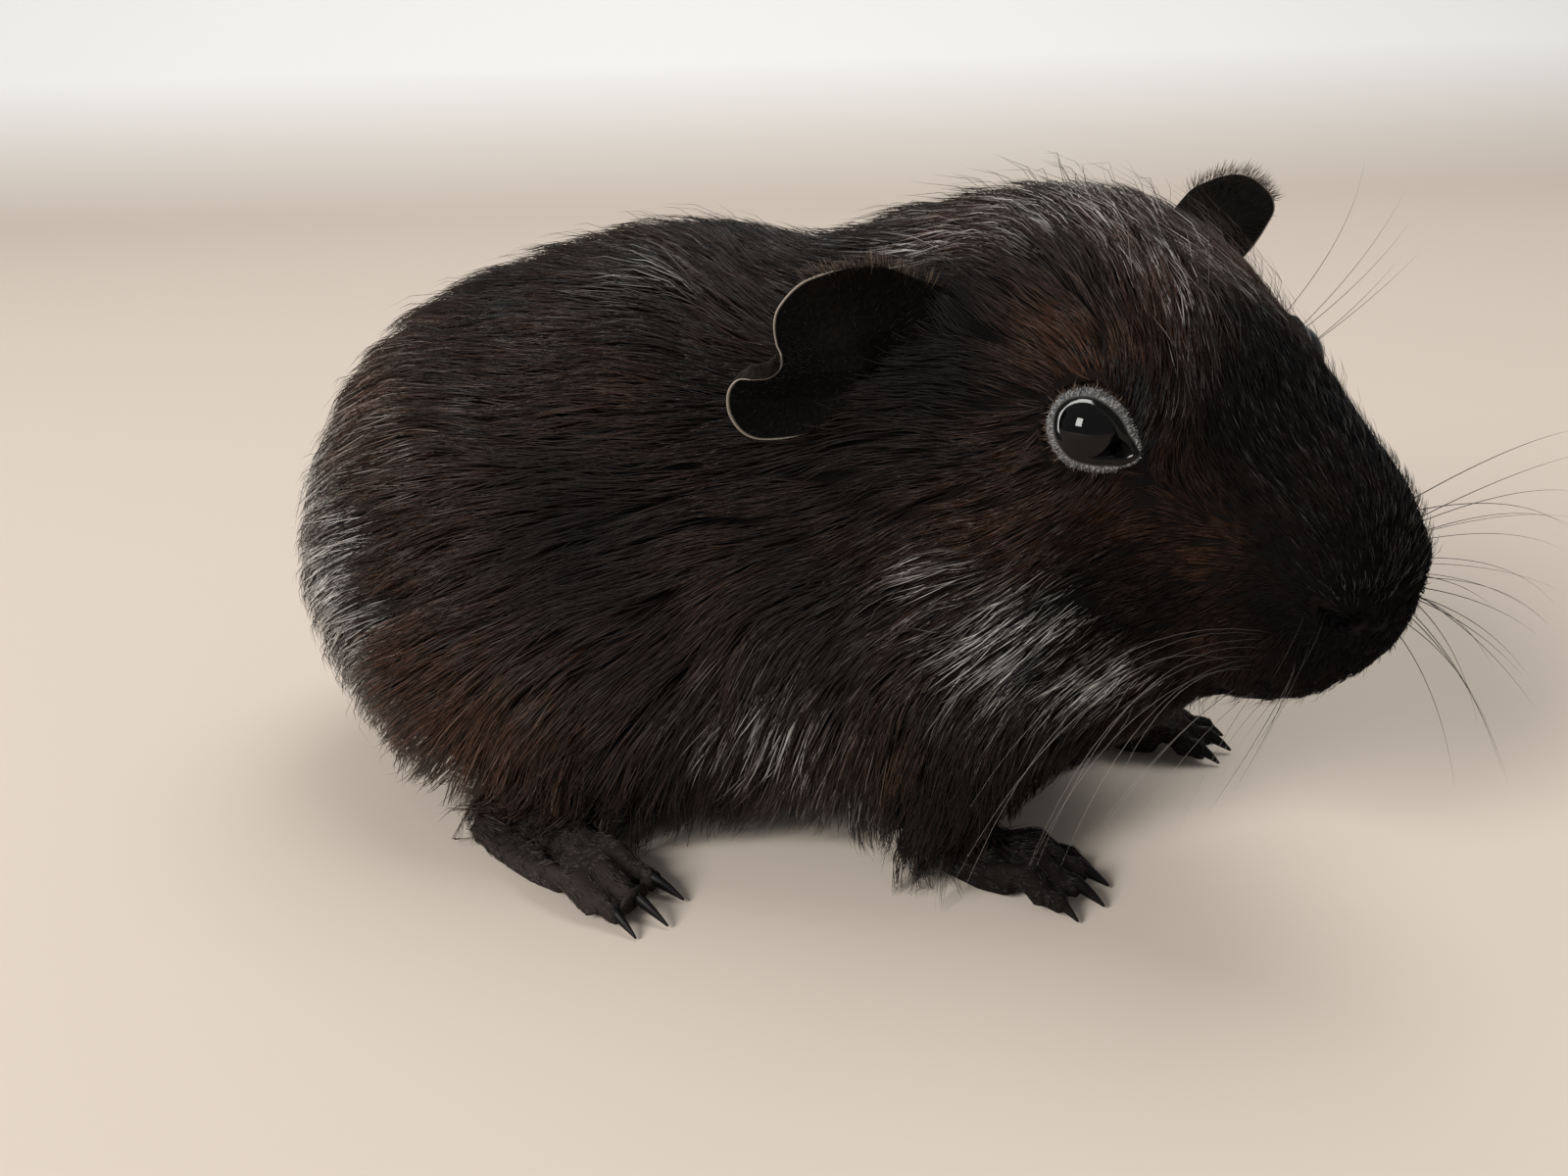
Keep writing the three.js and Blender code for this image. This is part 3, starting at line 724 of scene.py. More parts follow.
def furColour(tree, dark, brown, paintedSheen, randomness):
    # black hair turning brown with the coat's patches, and pale where sheen of light is painted on it;
    # randomness is a 0 to 1 output that sets the single hairs off from each other
    brownAt, paintedSheenAt = (
        addNode(tree, "Attribute", attribute_name=name).outputs["Fac"] for name in ("brown", "paintedSheen")
    )
    spread = addNode(tree, "Math", {1: 1.3}, {0: randomness}, operation="MULTIPLY").outputs[0]
    warm = addNode(tree, "Math", {}, {0: brownAt, 1: spread}, operation="MULTIPLY").outputs[0]
    # the stronger the painted sheen, the more of the hairs are painted pale
    above = addNode(tree, "Math", {1: 0.55, 2: -0.83}, {0: paintedSheenAt}, operation="MULTIPLY_ADD").outputs[0]
    above = addNode(tree, "Math", {}, {0: above, 1: randomness}, operation="ADD").outputs[0]
    few = addNode(tree, "MapRange", {"From Min": 0.0, "From Max": 0.25}, {"Value": above}).outputs["Result"]
    pale = addNode(tree, "Math", {}, {0: paintedSheenAt, 1: few}, operation="MULTIPLY", use_clamp=True).outputs[0]
    first = addNode(tree, "Mix", {"A": linear(dark), "B": linear(brown)}, {"Factor": warm}, data_type="RGBA")
    onFirst = {"Factor": pale, "A": first.outputs["Result"]}
    return addNode(tree, "Mix", {"B": linear(paintedSheen)}, onFirst, data_type="RGBA").outputs["Result"]


# the last tone is painted where light glints on the hair: painted sheen
hairTones = dict(dark="#080707", brown="#533728", paintedSheen="#cfccc8")

# Skin is matt and all but black, so that gaps in the coat read as depth. It carries the coat's brown, painted
# sheen and painted shade, and is paler where it is bare.
skinMaterial, skinTree, skinShader = newMaterial(
    "dark skin under black fur", {"Roughness": 0.8, "Specular IOR Level": 0.05}
)
skinWhere = addNode(skinTree, "TexCoord").outputs["Object"]
grain = addNode(skinTree, "TexNoise", {"Scale": 900, "Detail": 2}, {"Vector": skinWhere})  # grains of 1.1 mm
bare = addNode(skinTree, "Attribute", attribute_name="bare").outputs["Fac"]
underFur = furColour(skinTree, "#050404", "#16100c", "#1c1c1c", grain.outputs["Fac"])
skinTone = {"Factor": bare, "A": underFur}
skinTone = addNode(skinTree, "Mix", {"B": linear("#2b2523")}, skinTone, data_type="RGBA")
skinTree.links.new(skinTone.outputs["Result"], skinShader.inputs["Base Color"])
skin = addPiece("skin", makeMesh("skin", skinPoints, skinFaces), skinMaterial, fleshNodes)
addMarkingsSheenAndShade(skin.data, skinPoints)
# the bare skin of the forefeet, in the shade under the body, gets a quarter of the paleness of the hind
# feet's: painted shade
bareness = footNearness(skinPoints) * np.where(skinPoints[:, 0] > 5, 0.25, 1)
addAttribute(skin.data, "bare", np.maximum(bareness, 0.3 * noseBareness(skinPoints)))
skinNormals = vertexNormals(skinPoints, skinFaces)
skinMiddles = skinPoints[skinFaces].mean(axis=1)


def unwrapSkin():
    # the skin's own unwrap, as the corners of each quad: (quads, 4, 2)
    bpy.context.view_layer.objects.active = skin
    skin.select_set(True)
    skin.data.uv_layers.new(name="OFBake")
    bpy.ops.object.mode_set(mode="EDIT")
    bpy.ops.mesh.select_all(action="SELECT")
    bpy.ops.uv.smart_project(angle_limit=math.radians(66), island_margin=0.002)
    bpy.ops.object.mode_set(mode="OBJECT")
    uv = np.empty(len(skin.data.loops) * 2, np.float32)
    skin.data.uv_layers["OFBake"].uv.foreach_get("vector", uv)
    return uv.reshape(-1, 4, 2)


skinUv = unwrapSkin()


# Which way the hair lies at places on the animal's right side, mirrored to its left: where, in mm,
# and the direction of the hair there. The last ones are on the midline.
lieOnBody = [
    ((-15, -22, 78), (-1.0, -0.2, -0.1)), ((-35, -31, 68), (-1.0, 0.0, -0.2)),
    ((-46, -37, 55), (-1.0, 0.1, -0.3)), ((-20, -37, 58), (-1.0, -0.1, -0.1)),
    ((2, -34, 54), (-0.9, -0.3, -0.2)), ((15, -33, 47), (-0.9, -0.2, -0.4)),
    ((-13, -40, 43), (-0.9, -0.3, -0.3)), ((-30, -43, 39), (-0.9, -0.2, -0.5)),
    ((-50, -42, 36), (-0.8, 0.2, -0.5)), ((-23, -46, 22), (-0.6, -0.1, -0.8)),
    ((-36, -46, 30), (-0.8, 0.0, -0.6)), ((-55, -40, 38), (-0.8, 0.2, -0.6)),
    ((-10, -43, 28), (-0.6, -0.3, -0.7)), ((-9, -40, 15), (-0.5, 0.2, -0.9)),
    ((-40, -46, 21), (-0.8, 0.0, -0.6)), ((-14, -42, 15), (-0.4, 0.1, -0.9)),
    ((-30, -43, 11), (-0.5, 0.1, -0.8)), ((0, -39, 34), (-0.7, -0.2, -0.7)),
    ((10, -36, 31), (-0.5, -0.2, -0.8)), ((18, -35, 24), (-0.4, 0.1, -0.9)),
    ((4, -36, 17), (-0.5, 0.2, -0.8)), ((26, -35, 25), (-0.2, 0.1, -1.0)),
    ((26, -29, 10), (0.0, 0.0, -1.0)), ((-4, -39, 17), (-0.4, 0.2, -0.9)),
    ((-4, -16, 80), (-0.9, 0.1, 0.3)), ((21, -35, 35), (-0.5, -0.1, -0.8)),
    ((25, -33, 41), (-0.8, -0.2, -0.6)), ((-66, -20, 62), (-0.7, 0.1, -0.7)),
    ((-80, -12, 40), (-0.3, 0.2, -1.0)), ((-72, -26, 20), (-0.5, 0.2, -0.8)),
    ((45, -14, 20), (-0.2, 0.0, -1.0)), ((10, -14, 8), (-1.0, -0.2, 0.0)),
    ((-40, -14, 8), (-1.0, 0.0, 0.0)),
]
lieOnHead = [
    ((46, 2, -7), (-0.8, 0.1, 0.5)), ((36, -8, -1), (-0.7, 0.2, 0.7)), ((34, -3, 1), (-0.8, 0.2, 0.5)),
    ((28, -7, 5), (-0.7, 0.4, 0.6)), ((21, -9, 8), (-0.7, 0.3, 0.6)), ((20, -4, 10), (-0.8, 0.3, 0.5)),
    ((29, -13, -2), (-0.5, 0.2, 0.9)), ((9, -6, 14), (-1.0, 0.0, 0.3)), ((2, -8, 14), (-1.0, -0.1, 0.1)),
    ((-3, -12, 13), (-0.9, -0.4, -0.1)), ((-8, -16, 11), (-0.7, -0.7, -0.3)),
    ((-14, -21, 9), (-0.8, -0.5, -0.2)), ((14, -17, 5), (-0.9, -0.2, 0.3)),
    ((4, -20, 6), (-1.0, -0.2, 0.1)), ((8, -24, 0), (-0.9, -0.4, 0.0)), ((6, -31, -8), (-0.8, -0.6, -0.1)),
    ((18, -24, -8), (-0.6, -0.7, -0.4)), ((30, -19, -14), (-0.7, -0.6, -0.4)),
    ((18, -29, -18), (-0.6, -0.7, -0.4)), ((12, -36, -22), (-0.5, -0.8, -0.4)),
    ((23, -28, -27), (-0.4, -0.7, -0.6)), ((30, -20, -36), (-0.6, -0.5, -0.6)),
    ((36, -17, -22), (-0.7, -0.5, -0.5)), ((42, -15, -26), (-0.7, -0.2, -0.7)),
    ((45, -11, -34), (-0.5, 0.2, -0.8)), ((39, -12, -11), (-0.7, 0.0, 0.7)),
    ((40, -14, -17), (-0.9, -0.5, -0.1)), ((32, -13, -6), (-0.3, 0.3, 0.9)),
    ((55, -4, -20), (-0.2, -0.2, 1.0)), ((52, -8, -30), (-0.4, -0.2, -0.9)),
    ((45, -14, -23), (-0.8, -0.4, -0.5)), ((48, -9, -16), (-0.7, -0.2, 0.7)),
    ((34, 0, -42), (-1.0, 0.0, -0.2)), ((10, 0, -46), (-0.9, 0.0, -0.4)),
]
lieSettings = dict(
    soften=9,  # mm² added to each squared distance, so that no anchor stands out
    onFeet=(1.5, 0.0, -0.375),  # forwards over the toes
)
# where the hair parts, round the eyes and the roots of the ears: place, how strongly, reach in mm
partings = [(eyes[side], 1.1, 8) for side in eyes]
partings += [(outOfHead(root), 0.8, 6) for root in ((3, -23, 1), (2, 20, 1))]


def lieAnchors():
    # every anchor on both sides of the animal, in the part's frame
    flip = np.array([1, -1, 1])
    body, head = np.array(lieOnBody), np.array(lieOnHead)
    places = [body[:, 0], body[:, 0] * flip]
    ways = [body[:, 1], body[:, 1] * flip]
    for side in (1, flip):
        places.append(outOfHead(head[:, 0] * side))
        ways.append((head[:, 1] * side) @ headTurn.T)
    return np.concatenate(places), unit(np.concatenate(ways))


anchorPlaces, anchorWays = lieAnchors()


def lieOf(points, normals):
    # the way the hair lies at each point, along the skin: the anchors' directions, each weighed by
    # one over the square of its squared distance; parted round eyes and ears, forwards on the feet
    away = ((points[:, None] - anchorPlaces) ** 2).sum(axis=2) + lieSettings["soften"]
    weight = 1 / away**2
    way = weight @ anchorWays / weight.sum(axis=1, keepdims=True)
    for place, strength, reach in partings:
        way = way + strength * unit(points - place) * nearTo(points, place, reach)[:, None]
    foot = ramp(footNearness(points), 0.5, 0.8)[:, None]
    way = way * (1 - foot) + np.array(lieSettings["onFeet"]) * foot
    way -= normals * np.sum(way * normals, axis=1, keepdims=True)
    return unit(way)


def ontoSkin(points):
    # the nearest point of the skin to each point, and the skin's outward normal there
    wrap = dict(target=skin, wrap_method="NEAREST_SURFACEPOINT", wrap_mode="ABOVE_SURFACE")
    on, above = (evaluated(points, None, "SHRINKWRAP", **wrap, offset=offset)[0] for offset in (0, 0.001))
    return on, unit(above - on)


furSettings = dict(
    lock=8,  # strands in one lock
    gather=1.25,  # how far locks run into each other at the root, 1 being side by side
    steps=5,  # of each lock along the skin
    swirl=7,  # degrees, slow wander of the lie
    sway=3,  # degrees, from lock to lock
    spread=2.6,  # degrees, from strand to strand
    flat=0.7,  # thickness of a strand as a share of its width
    pinch=0.45,  # how far a lock draws together at its tips
    root=(0.05, 0.1),  # mm under the skin, and as a share of the coat's depth more
    scatter=3,  # mm, how far hair of the muzzle and of the cheek mingle
    floorLength=2,  # mm, of the hair at the floor, longer by 1 mm for each mm up
    stray=0.035,  # share of strands that stand up out of the coat
    strayRise=(0.02, 0.14),  # how far they do, as a share of their length
    strayFan=4,  # how much more they spread
    strayWidth=0.55,
    hang=0.25,  # how much the low hair of the sides is pulled straight down
    low=(10, 34),  # mm up, between which it goes over into hair that follows the skin
    jowl=((22, -27, -34), 9, 0.5),  # hair that hangs straight too: where on the head, reach, how much
    loft=[  # where the coat stands off further: mm in the part's frame, reach, how much
        ((-62, -36, 24), 22, 3.2), ((-62, 36, 24), 22, 3.2), ((-3, -13, 80), 12, 1.6),
    ],
)
bodyRings = [(0.0, 0.75), (0.35, 1.0), (0.72, 0.72), (1.0, 0.0)]  # place along a strand, width
faceRings = [(0.0, 0.8), (0.5, 1.0), (1.0, 0.0)]


def strandDensity(points):
    # strands to the square millimetre, from their length, width and cover
    return coatMeasure(points, "cover") / (coatMeasure(points, "length") * coatMeasure(points, "width"))


def sampleSkin(count, weight):
    # random points of the skin, as likely in each quad as its weight: place, normal, unwrap
    quad = rng.choice(len(skinFaces), count, p=weight / weight.sum())
    u, v = rng.random((2, count, 1))
    shares = [(1 - u) * (1 - v), u * (1 - v), u * v, (1 - u) * v]
    corners = skinFaces[quad]
    places = sum(skinPoints[corners[:, i]] * s for i, s in enumerate(shares))
    normals = unit(sum(skinNormals[corners[:, i]] * s for i, s in enumerate(shares)))
    unwrap = sum(skinUv[quad, i] * s for i, s in enumerate(shares))
    return places, normals, unwrap


def turned(ways, normals, angles):
    # each direction turned about its normal
    angles = angles[:, None]
    return ways * np.cos(angles) + np.cross(normals, ways) * np.sin(angles)


def layLocks(roots, normals, lengths):
    # carries each lock along the skin in steps: the feet of its path, and the normals there
    steps = furSettings["steps"]
    swirl = math.radians(furSettings["swirl"]) * ripple(roots, 24, 3)
    swirl += math.radians(furSettings["swirl"]) * 0.6 * ripple(roots, 9, 4)
    swirl += math.radians(furSettings["sway"]) * rng.normal(size=len(roots))
    feet, ups = [roots], [normals]
    for _ in range(steps):
        way = turned(lieOf(feet[-1], ups[-1]), ups[-1], swirl)
        ahead = feet[-1] + way * lengths[:, None] / steps + ups[-1] * 0.4
        foot, up = ontoSkin(ahead)
        foot[:, 2] = np.maximum(foot[:, 2], 0.4)
        feet.append(foot)
        ups.append(up)
    return np.stack(feet, axis=1), np.stack(ups, axis=1)


def alongPath(path, t):
    # a point at share t of the way along each path of equal steps
    steps = path.shape[1] - 1
    place = np.clip(t * steps, 0, steps - 1e-6)
    index = place.astype(int)
    rows = np.arange(len(path))
    share = (place - index)[:, None]
    return path[rows, index] * (1 - share) + path[rows, index + 1] * share


def growStrands(paths, ups, lengths, depths, widths, unwrap, shape):
    # strands of every lock: points (strands, rings of 3 and a tip, 3), unwrap and tone
    lock = furSettings["lock"]
    count = len(paths) * lock
    of = np.repeat(np.arange(len(paths)), lock)
    path, up = paths[of], ups[of]
    radius = np.sqrt(lock / (math.pi * strandDensity(paths[:, 0])))[of] * furSettings["gather"]
    angle = rng.uniform(0, 2 * math.pi, count)
    away = radius * np.sqrt(rng.random(count))
    aside, ahead = away * np.cos(angle), away * np.sin(angle)
    reach = rng.uniform(0.6, 1.0, count)
    fan = np.tan(np.radians(furSettings["spread"]) * rng.normal(size=count)) * lengths[of]
    rise = (rng.uniform(0.5, 1.0, len(paths))[of] + rng.uniform(-0.2, 0.1, count)) * depths[of]
    loft = sum(much * nearTo(paths[:, 0], where, wide) for where, wide, much in furSettings["loft"])
    rise += loft[of] * rng.uniform(0.2, 1, count)
    sunk = furSettings["root"][0] + furSettings["root"][1] * depths[of]
    onHead, foot = inHeadNode(path[:, 0]), footNearness(path[:, 0])
    stray = rng.random(count) < furSettings["stray"] * (1 - foot) * (1 + onHead)
    standing = rise + lengths[of] * rng.uniform(*furSettings["strayRise"], count) * (1 + 1.5 * onHead)
    rise = np.where(stray, standing, rise)
    fan = np.where(stray, fan * furSettings["strayFan"], fan)
    thick = np.where(stray, furSettings["strayWidth"], rng.uniform(0.75, 1.15, count)) * widths[of]
    twist = rng.uniform(-0.5, 0.5, count)[:, None]
    cosTwist, sinTwist = np.cos(twist), np.sin(twist)
    spokes = [(math.cos(a), math.sin(a)) for a in (math.pi / 2, math.pi * 7 / 6, math.pi * 11 / 6)]
    low = (1 - ramp(path[:, 0, 2], *furSettings["low"])) * (1 - foot) * ramp(np.abs(up[:, 0, 1]), 0.1, 0.5)
    jowl, reachJowl, share = furSettings["jowl"]
    straight = np.maximum(low, share * nearTo(path[:, 0], outOfHead(jowl), reachJowl))[:, None]
    start = unit(path[:, 1] - path[:, 0])
    start = unit(start - np.array([0, 0, furSettings["hang"]]) * low[:, None]) * lengths[of][:, None]
    rings = []
    for t, wide in shape:
        at = alongPath(path, t * reach)
        at = at + (path[:, 0] + start * (t * reach)[:, None] - at) * straight
        normal = unit(alongPath(up, t * reach))
        before, after = (alongPath(path, np.clip(t * reach + d, 0, 1)) for d in (-0.12, 0.12))
        forth = unit(after - before)
        across = np.cross(normal, forth)
        gather = 1 - furSettings["pinch"] * (1 - foot) * t**1.3
        height = (rise + sunk) * (1 - (1 - t) ** 2) - sunk
        centre = at + across * (aside * gather + fan * t**1.5)[:, None]
        centre += forth * (ahead * (1 - 0.5 * t))[:, None] + normal * height[:, None]
        if wide == 0:
            rings.append(centre[:, None])
            continue
        half = (thick * wide / 2)[:, None]
        ring = [
            centre
            + across * ((c * cosTwist - s * sinTwist) * half)
            + normal * ((c * sinTwist + s * cosTwist) * half * furSettings["flat"])
            for c, s in spokes
        ]
        rings.append(np.stack(ring, axis=1))
    tone = 0.15 * rng.random(len(paths))[of] + 0.85 * rng.random(count)
    points = np.concatenate(rings, axis=1)
    points[:, :, 2] = np.maximum(points[:, :, 2], 0.15)
    return points, unwrap[of], tone


def strandFaces(ringCount):
    # triangles of one strand: its sides ring by ring, the point at its tip, the cap at its root
    faces = [[0, 1, 2]]
    for ring in range(ringCount - 1):
        for corner in range(3):
            a, b = ring * 3 + corner, ring * 3 + (corner + 1) % 3
            faces += [[a, a + 3, b + 3], [a, b + 3, b]]
    last = (ringCount - 1) * 3
    faces += [[last + i, ringCount * 3, last + (i + 1) % 3] for i in range(3)]
    return np.array(faces)


patch = 0.003  # of the unwrap, the size of the patch of one strand


def addCoatPiece(name, points, unwrap, tone, shape, material):
    count, each = points.shape[:2]
    rings = len(shape) - 1
    faces = strandFaces(rings)
    # the corners of a ring run left or right round the strand, and the faces have to point outwards
    first, second, third = points[0, :3]
    if np.cross(second - first, third - first) @ (points[0, -1] - first) > 0:
        faces = faces[:, ::-1]
    mesh = makeMesh(name, points.reshape(-1, 3), repeated(faces, count, each))
    t = np.append(np.repeat([place for place, _ in shape[:-1]], 3), 1.0)
    corner = np.append(np.tile([0.5, 0.0, 1.0], rings), 0.5)
    local = np.column_stack([corner - 0.5, t - 0.5]) * patch
    uv = (np.clip(unwrap, patch, 1 - patch)[:, None] + local[None])[:, faces.ravel()]
    mesh.uv_layers.new(name="OFBake").uv.foreach_set("vector", uv.astype(np.float32).ravel())
    addAttribute(mesh, "tone", np.repeat(tone, each))
    addAttribute(mesh, "along", np.tile(t, count))
    addMarkingsSheenAndShade(mesh, points[:, 0], each)
    return addPiece(name, mesh, material)


def inHeadNode(points):
    # inside the ellipsoid that parts the head from the neck
    return np.sum(((intoHead(points) - [22, 0, -12]) / [40, 42, 38]) ** 2, axis=1) < 1


# where the pieces of the coat part, in mm: along the animal, for the underside up from the floor,
# and for the muzzle ahead in the head's axes
regionBorders = dict(shoulder=5, rump=-38, underside=26, muzzle=26)


def coatRegions(points):
    # a name for the coat piece of each root
    head = inHeadNode(points)
    # the border of the muzzle is scattered, so that its matt hair goes over into the sleek coat
    ahead = intoHead(points)[:, 0] + furSettings["scatter"] * rng.normal(size=len(points))
    leftward = intoHead(points)[:, 1] > 0
    left = points[:, 1] > 0
    foot = footNearness(points) > 0.5
    shoulder, rump = points[:, 0] > regionBorders["shoulder"], points[:, 0] < regionBorders["rump"]
    low = points[:, 2] < regionBorders["underside"]
    names = np.full(len(points), "coat_flank", dtype=object)
    for name, where in (
        ("coat_shoulder", shoulder),
        ("coat_rump", rump),
        ("coat_underside", low & ~shoulder),
        ("coat_cheek", head),
        ("coat_muzzle", head & (ahead > regionBorders["muzzle"])),
    ):
        names[where] = name
    names += np.where(np.where(head, leftward, left), "_left", "_right").astype(object)
    names[foot & ~shoulder] = "coat_feet_hind"
    names[foot & shoulder] = "coat_feet_front"
    return names


def hairMaterial(name, stops, roughness):
    # hair with a soft sheen, coloured by its tone: random from hair to hair, and on whiskers from
    # root to tip
    return rampMaterial(name, "tone", stops, {"Roughness": roughness, "Specular IOR Level": 0.3})[0]


def furMaterial(name, specular):
    # the coat's colours, with matt roots, so that only the outer half of each hair shines, some hairs more
    # than others and the black patches, black hair and painted shade alike, not at all
    material, tree, shader = newMaterial(name, {"Specular IOR Level": specular})
    tone, along, matt = (
        addNode(tree, "Attribute", attribute_name=mark).outputs["Fac"] for mark in ("tone", "along", "matt")
    )
    tree.links.new(furColour(tree, **hairTones, randomness=tone), shader.inputs["Base Color"])
    shine = addNode(tree, "MapRange", {"To Min": 0.5, "To Max": 0.2}, {"Value": tone}).outputs["Result"]
    outer = addNode(tree, "MapRange", {"From Min": 0.1, "From Max": 0.55}, {"Value": along}).outputs["Result"]
    sleek = addNode(tree, "Math", {1: -0.9, 2: 1.0}, {0: matt}, operation="MULTIPLY_ADD").outputs[0]
    shiny = addNode(tree, "Math", {}, {0: outer, 1: sleek}, operation="MULTIPLY").outputs[0]
    gloss = addNode(tree, "Mix", {"A": 0.95}, {"Factor": shiny, "B": shine}).outputs["Result"]
    tree.links.new(gloss, shader.inputs["Roughness"])
    return material


sleekHair = furMaterial("sleek black guard hair", 0.27)
# The hind feet's hair is painted grey-brown for the sheen of light on it: painted sheen. The forefeet keep
# the black of their hair.
hindFeetSheenStops = [(0, "#1c1816"), (0.6, "#332c29"), (1, "#5a504b")]
coatMaterials = dict(  # where the coat is not sleek
    muzzle=furMaterial("velvety black hair of the muzzle", 0.08),
    forefeet=hairMaterial("short black hair of the forefeet", [(0, "#090808"), (1, "#24201e")], 0.45),
    feet=hairMaterial("short hind-foot hair with painted sheen", hindFeetSheenStops, 0.45),
)


def growCoat():
    # locks over the whole skin at once, then the strands of each region as a piece of its own
    a, b, c, d = (skinPoints[skinFaces[:, i]] for i in range(4))
    area = np.linalg.norm(np.cross(c - a, d - b), axis=1) / 2
    hidden = (skinNormals[skinFaces[:, 0], 2] < -0.5) & (skinMiddles[:, 2] < coatSettings["hidden"])
    weight = area * strandDensity(skinMiddles) * np.where(hidden, coatSettings["beneath"], 1)
    locks = int(weight.sum() / furSettings["lock"])
    roots, normals, unwrap = sampleSkin(locks, weight)
    # no hair grows in the nostrils and the mouth, on the nose, under the soles or round the eyes
    clear = (pressed(roots) < 0.45) & (noseBareness(roots) < 0.5)
    clear &= (roots[:, 2] > 2) | (normals[:, 2] > -0.4)
    for side in eyes:
        local, beyond, _ = roundEye(roots, side)
        near = (local[:, 2] > -2) & (np.linalg.norm(local, axis=1) < eyeSettings["far"])
        away = awayFromLine(local[near], np.concatenate([lidRing[::5], lidRing[:1]]))
        clear[near] &= (beyond[near] > 0) & (away > eyeSettings["bare"])
    roots, normals, unwrap = roots[clear], normals[clear], unwrap[clear]
    lengths = coatMeasure(roots, "length") * rng.uniform(0.8, 1.15, len(roots))
    lengths = np.minimum(lengths, furSettings["floorLength"] + roots[:, 2])
    depths = coatDepth(roots)
    widths = coatMeasure(roots, "width")
    paths, ups = layLocks(roots, normals, lengths)
    regions = coatRegions(roots)
    total = 0
    for name in sorted(set(regions)):
        mine = regions == name
        short = any(word in name for word in ("muzzle", "feet", "cheek"))
        shape = faceRings if short else bodyRings
        place = "forefeet" if name == "coat_feet_front" else name.split("_")[1]
        material = coatMaterials.get(place, sleekHair)
        points, uv, tone = growStrands(
            paths[mine], ups[mine], lengths[mine], depths[mine], widths[mine], unwrap[mine], shape
        )
        piece = addCoatPiece(name, points, uv, tone, shape, material)
        total += len(piece.data.polygons)
        print(name, len(points), "strands", len(piece.data.polygons), "triangles")
    print("coat:", total, "triangles")


growCoat()


# A living eye is black at any depth under a wet, clear, slightly raised cornea, which alone mirrors
# the lights, sharp and bright.
eyeStops = [(0, "#030304"), (0.5, "#060506"), (0.6, "#040404"), (1, "#030303")]
cornea = {"Coat Weight": 1.0, "Coat Roughness": 0.02, "Coat IOR": 1.3}
eyeLook = {"Roughness": 0.3, "Specular IOR Level": 0.0, **cornea}
eyeMaterial = rampMaterial("wet dark eye", "fromPole", eyeStops, eyeLook)[0]
ballSettings = dict(radius=5.0, gap=0.03, bulge=0.22, cornea=0.75, rows=44, columns=56)  # mm, radians


def addEyeball(side, radius, gap, bulge, cornea, rows, columns):
    # a ball whose radius rises by a bell curve of the angle from the middle of the opening
    angle = np.linspace(0, math.pi, rows + 2)
    turn = np.linspace(0, 2 * math.pi, columns, endpoint=False)
    size = radius - gap + bulge * np.exp(-((angle / cornea) ** 4))
    wide, high = (size * np.sin(angle))[:, None], (size * np.cos(angle))[:, None]
    rings = np.stack([wide * np.cos(turn), wide * np.sin(turn), high * np.ones(columns)], axis=-1)
    local = np.concatenate([rings[0, :1], rings[1:-1].reshape(-1, 3), rings[-1, :1]])
    fromPole = np.concatenate([[0], np.repeat(angle[1:-1], columns), [math.pi]]) / (math.pi / 2)
    points = eyes[side] + local @ eyeAxes(side).T
    mesh = makeMesh("eyeball_" + side, points, latheFaces(rows, columns, side == "right"))
    addAttribute(mesh, "fromPole", np.minimum(fromPole, 1))
    addPiece("eyeball_" + side, mesh, eyeMaterial, [f"eye_{side}"])


# The lids' edge is wet and black and mirrors as the eye does. Beyond it the rim is dry grey skin,
# which goes over into the brown of the fur.
lidStops = [
    (0, "#030303"), (0.36, "#040404"), (0.44, "#454444"), (0.7, "#4a4847"), (0.84, "#251d18"), (1, "#120d0a"),
]
lidMaterial, lidTree, lidShader, lidAt = rampMaterial(
    "eyelid: wet black edge, grey downy rim", "across", lidStops, {"Specular IOR Level": 0.2}
)
drying = {"From Min": 0.3, "From Max": 0.44, "To Min": 0.08, "To Max": 0.8}
lidGloss = addNode(lidTree, "MapRange", drying, {"Value": lidAt}).outputs["Result"]
lidTree.links.new(lidGloss, lidShader.inputs["Roughness"])

# The lid in section: outwards and forwards from the lids' edge, mm, and how far across
# the lid from its wet edge to the fur.
lidSection = np.array([
    (-0.9, -1.4, 0.0), (-0.85, -0.52, 0.05), (-0.7, -0.34, 0.12), (-0.4, -0.14, 0.25), (-0.12, 0.0, 0.36),
    (0.12, 0.06, 0.44), (0.45, 0.08, 0.55), (0.8, 0.0, 0.68), (1.15, -0.18, 0.8), (1.5, -0.55, 0.9),
    (1.8, -1.2, 1.0), (0.6, -1.9, 1.0),
])
lidTop = slice(4, 11)  # the rows of the section that face outwards


def lidPoint(side, place, out, forward):
    # a point of the lid: at a place (0 to 1) round its edge, outwards over the head and forwards
    step = place * len(lidRing)
    index = step.astype(int) % len(lidRing)
    after, before = lidRing[(index + 1) % len(lidRing)], lidRing[index - 1]
    at = lidRing[index] + (after - lidRing[index]) * (step % 1)[:, None]
    normal = unit(at)
    across = unit(np.cross(after - before, normal))
    # the lids are narrow at the inner corner
    narrow = 1 - 0.6 * np.exp(-(np.linalg.norm(at - lidRing[0], axis=1)[:, None] ** 2) / 3)
    local = at + across * out[:, None] * narrow + normal * forward[:, None]
    return eyes[side] + local @ eyeAxes(side).T


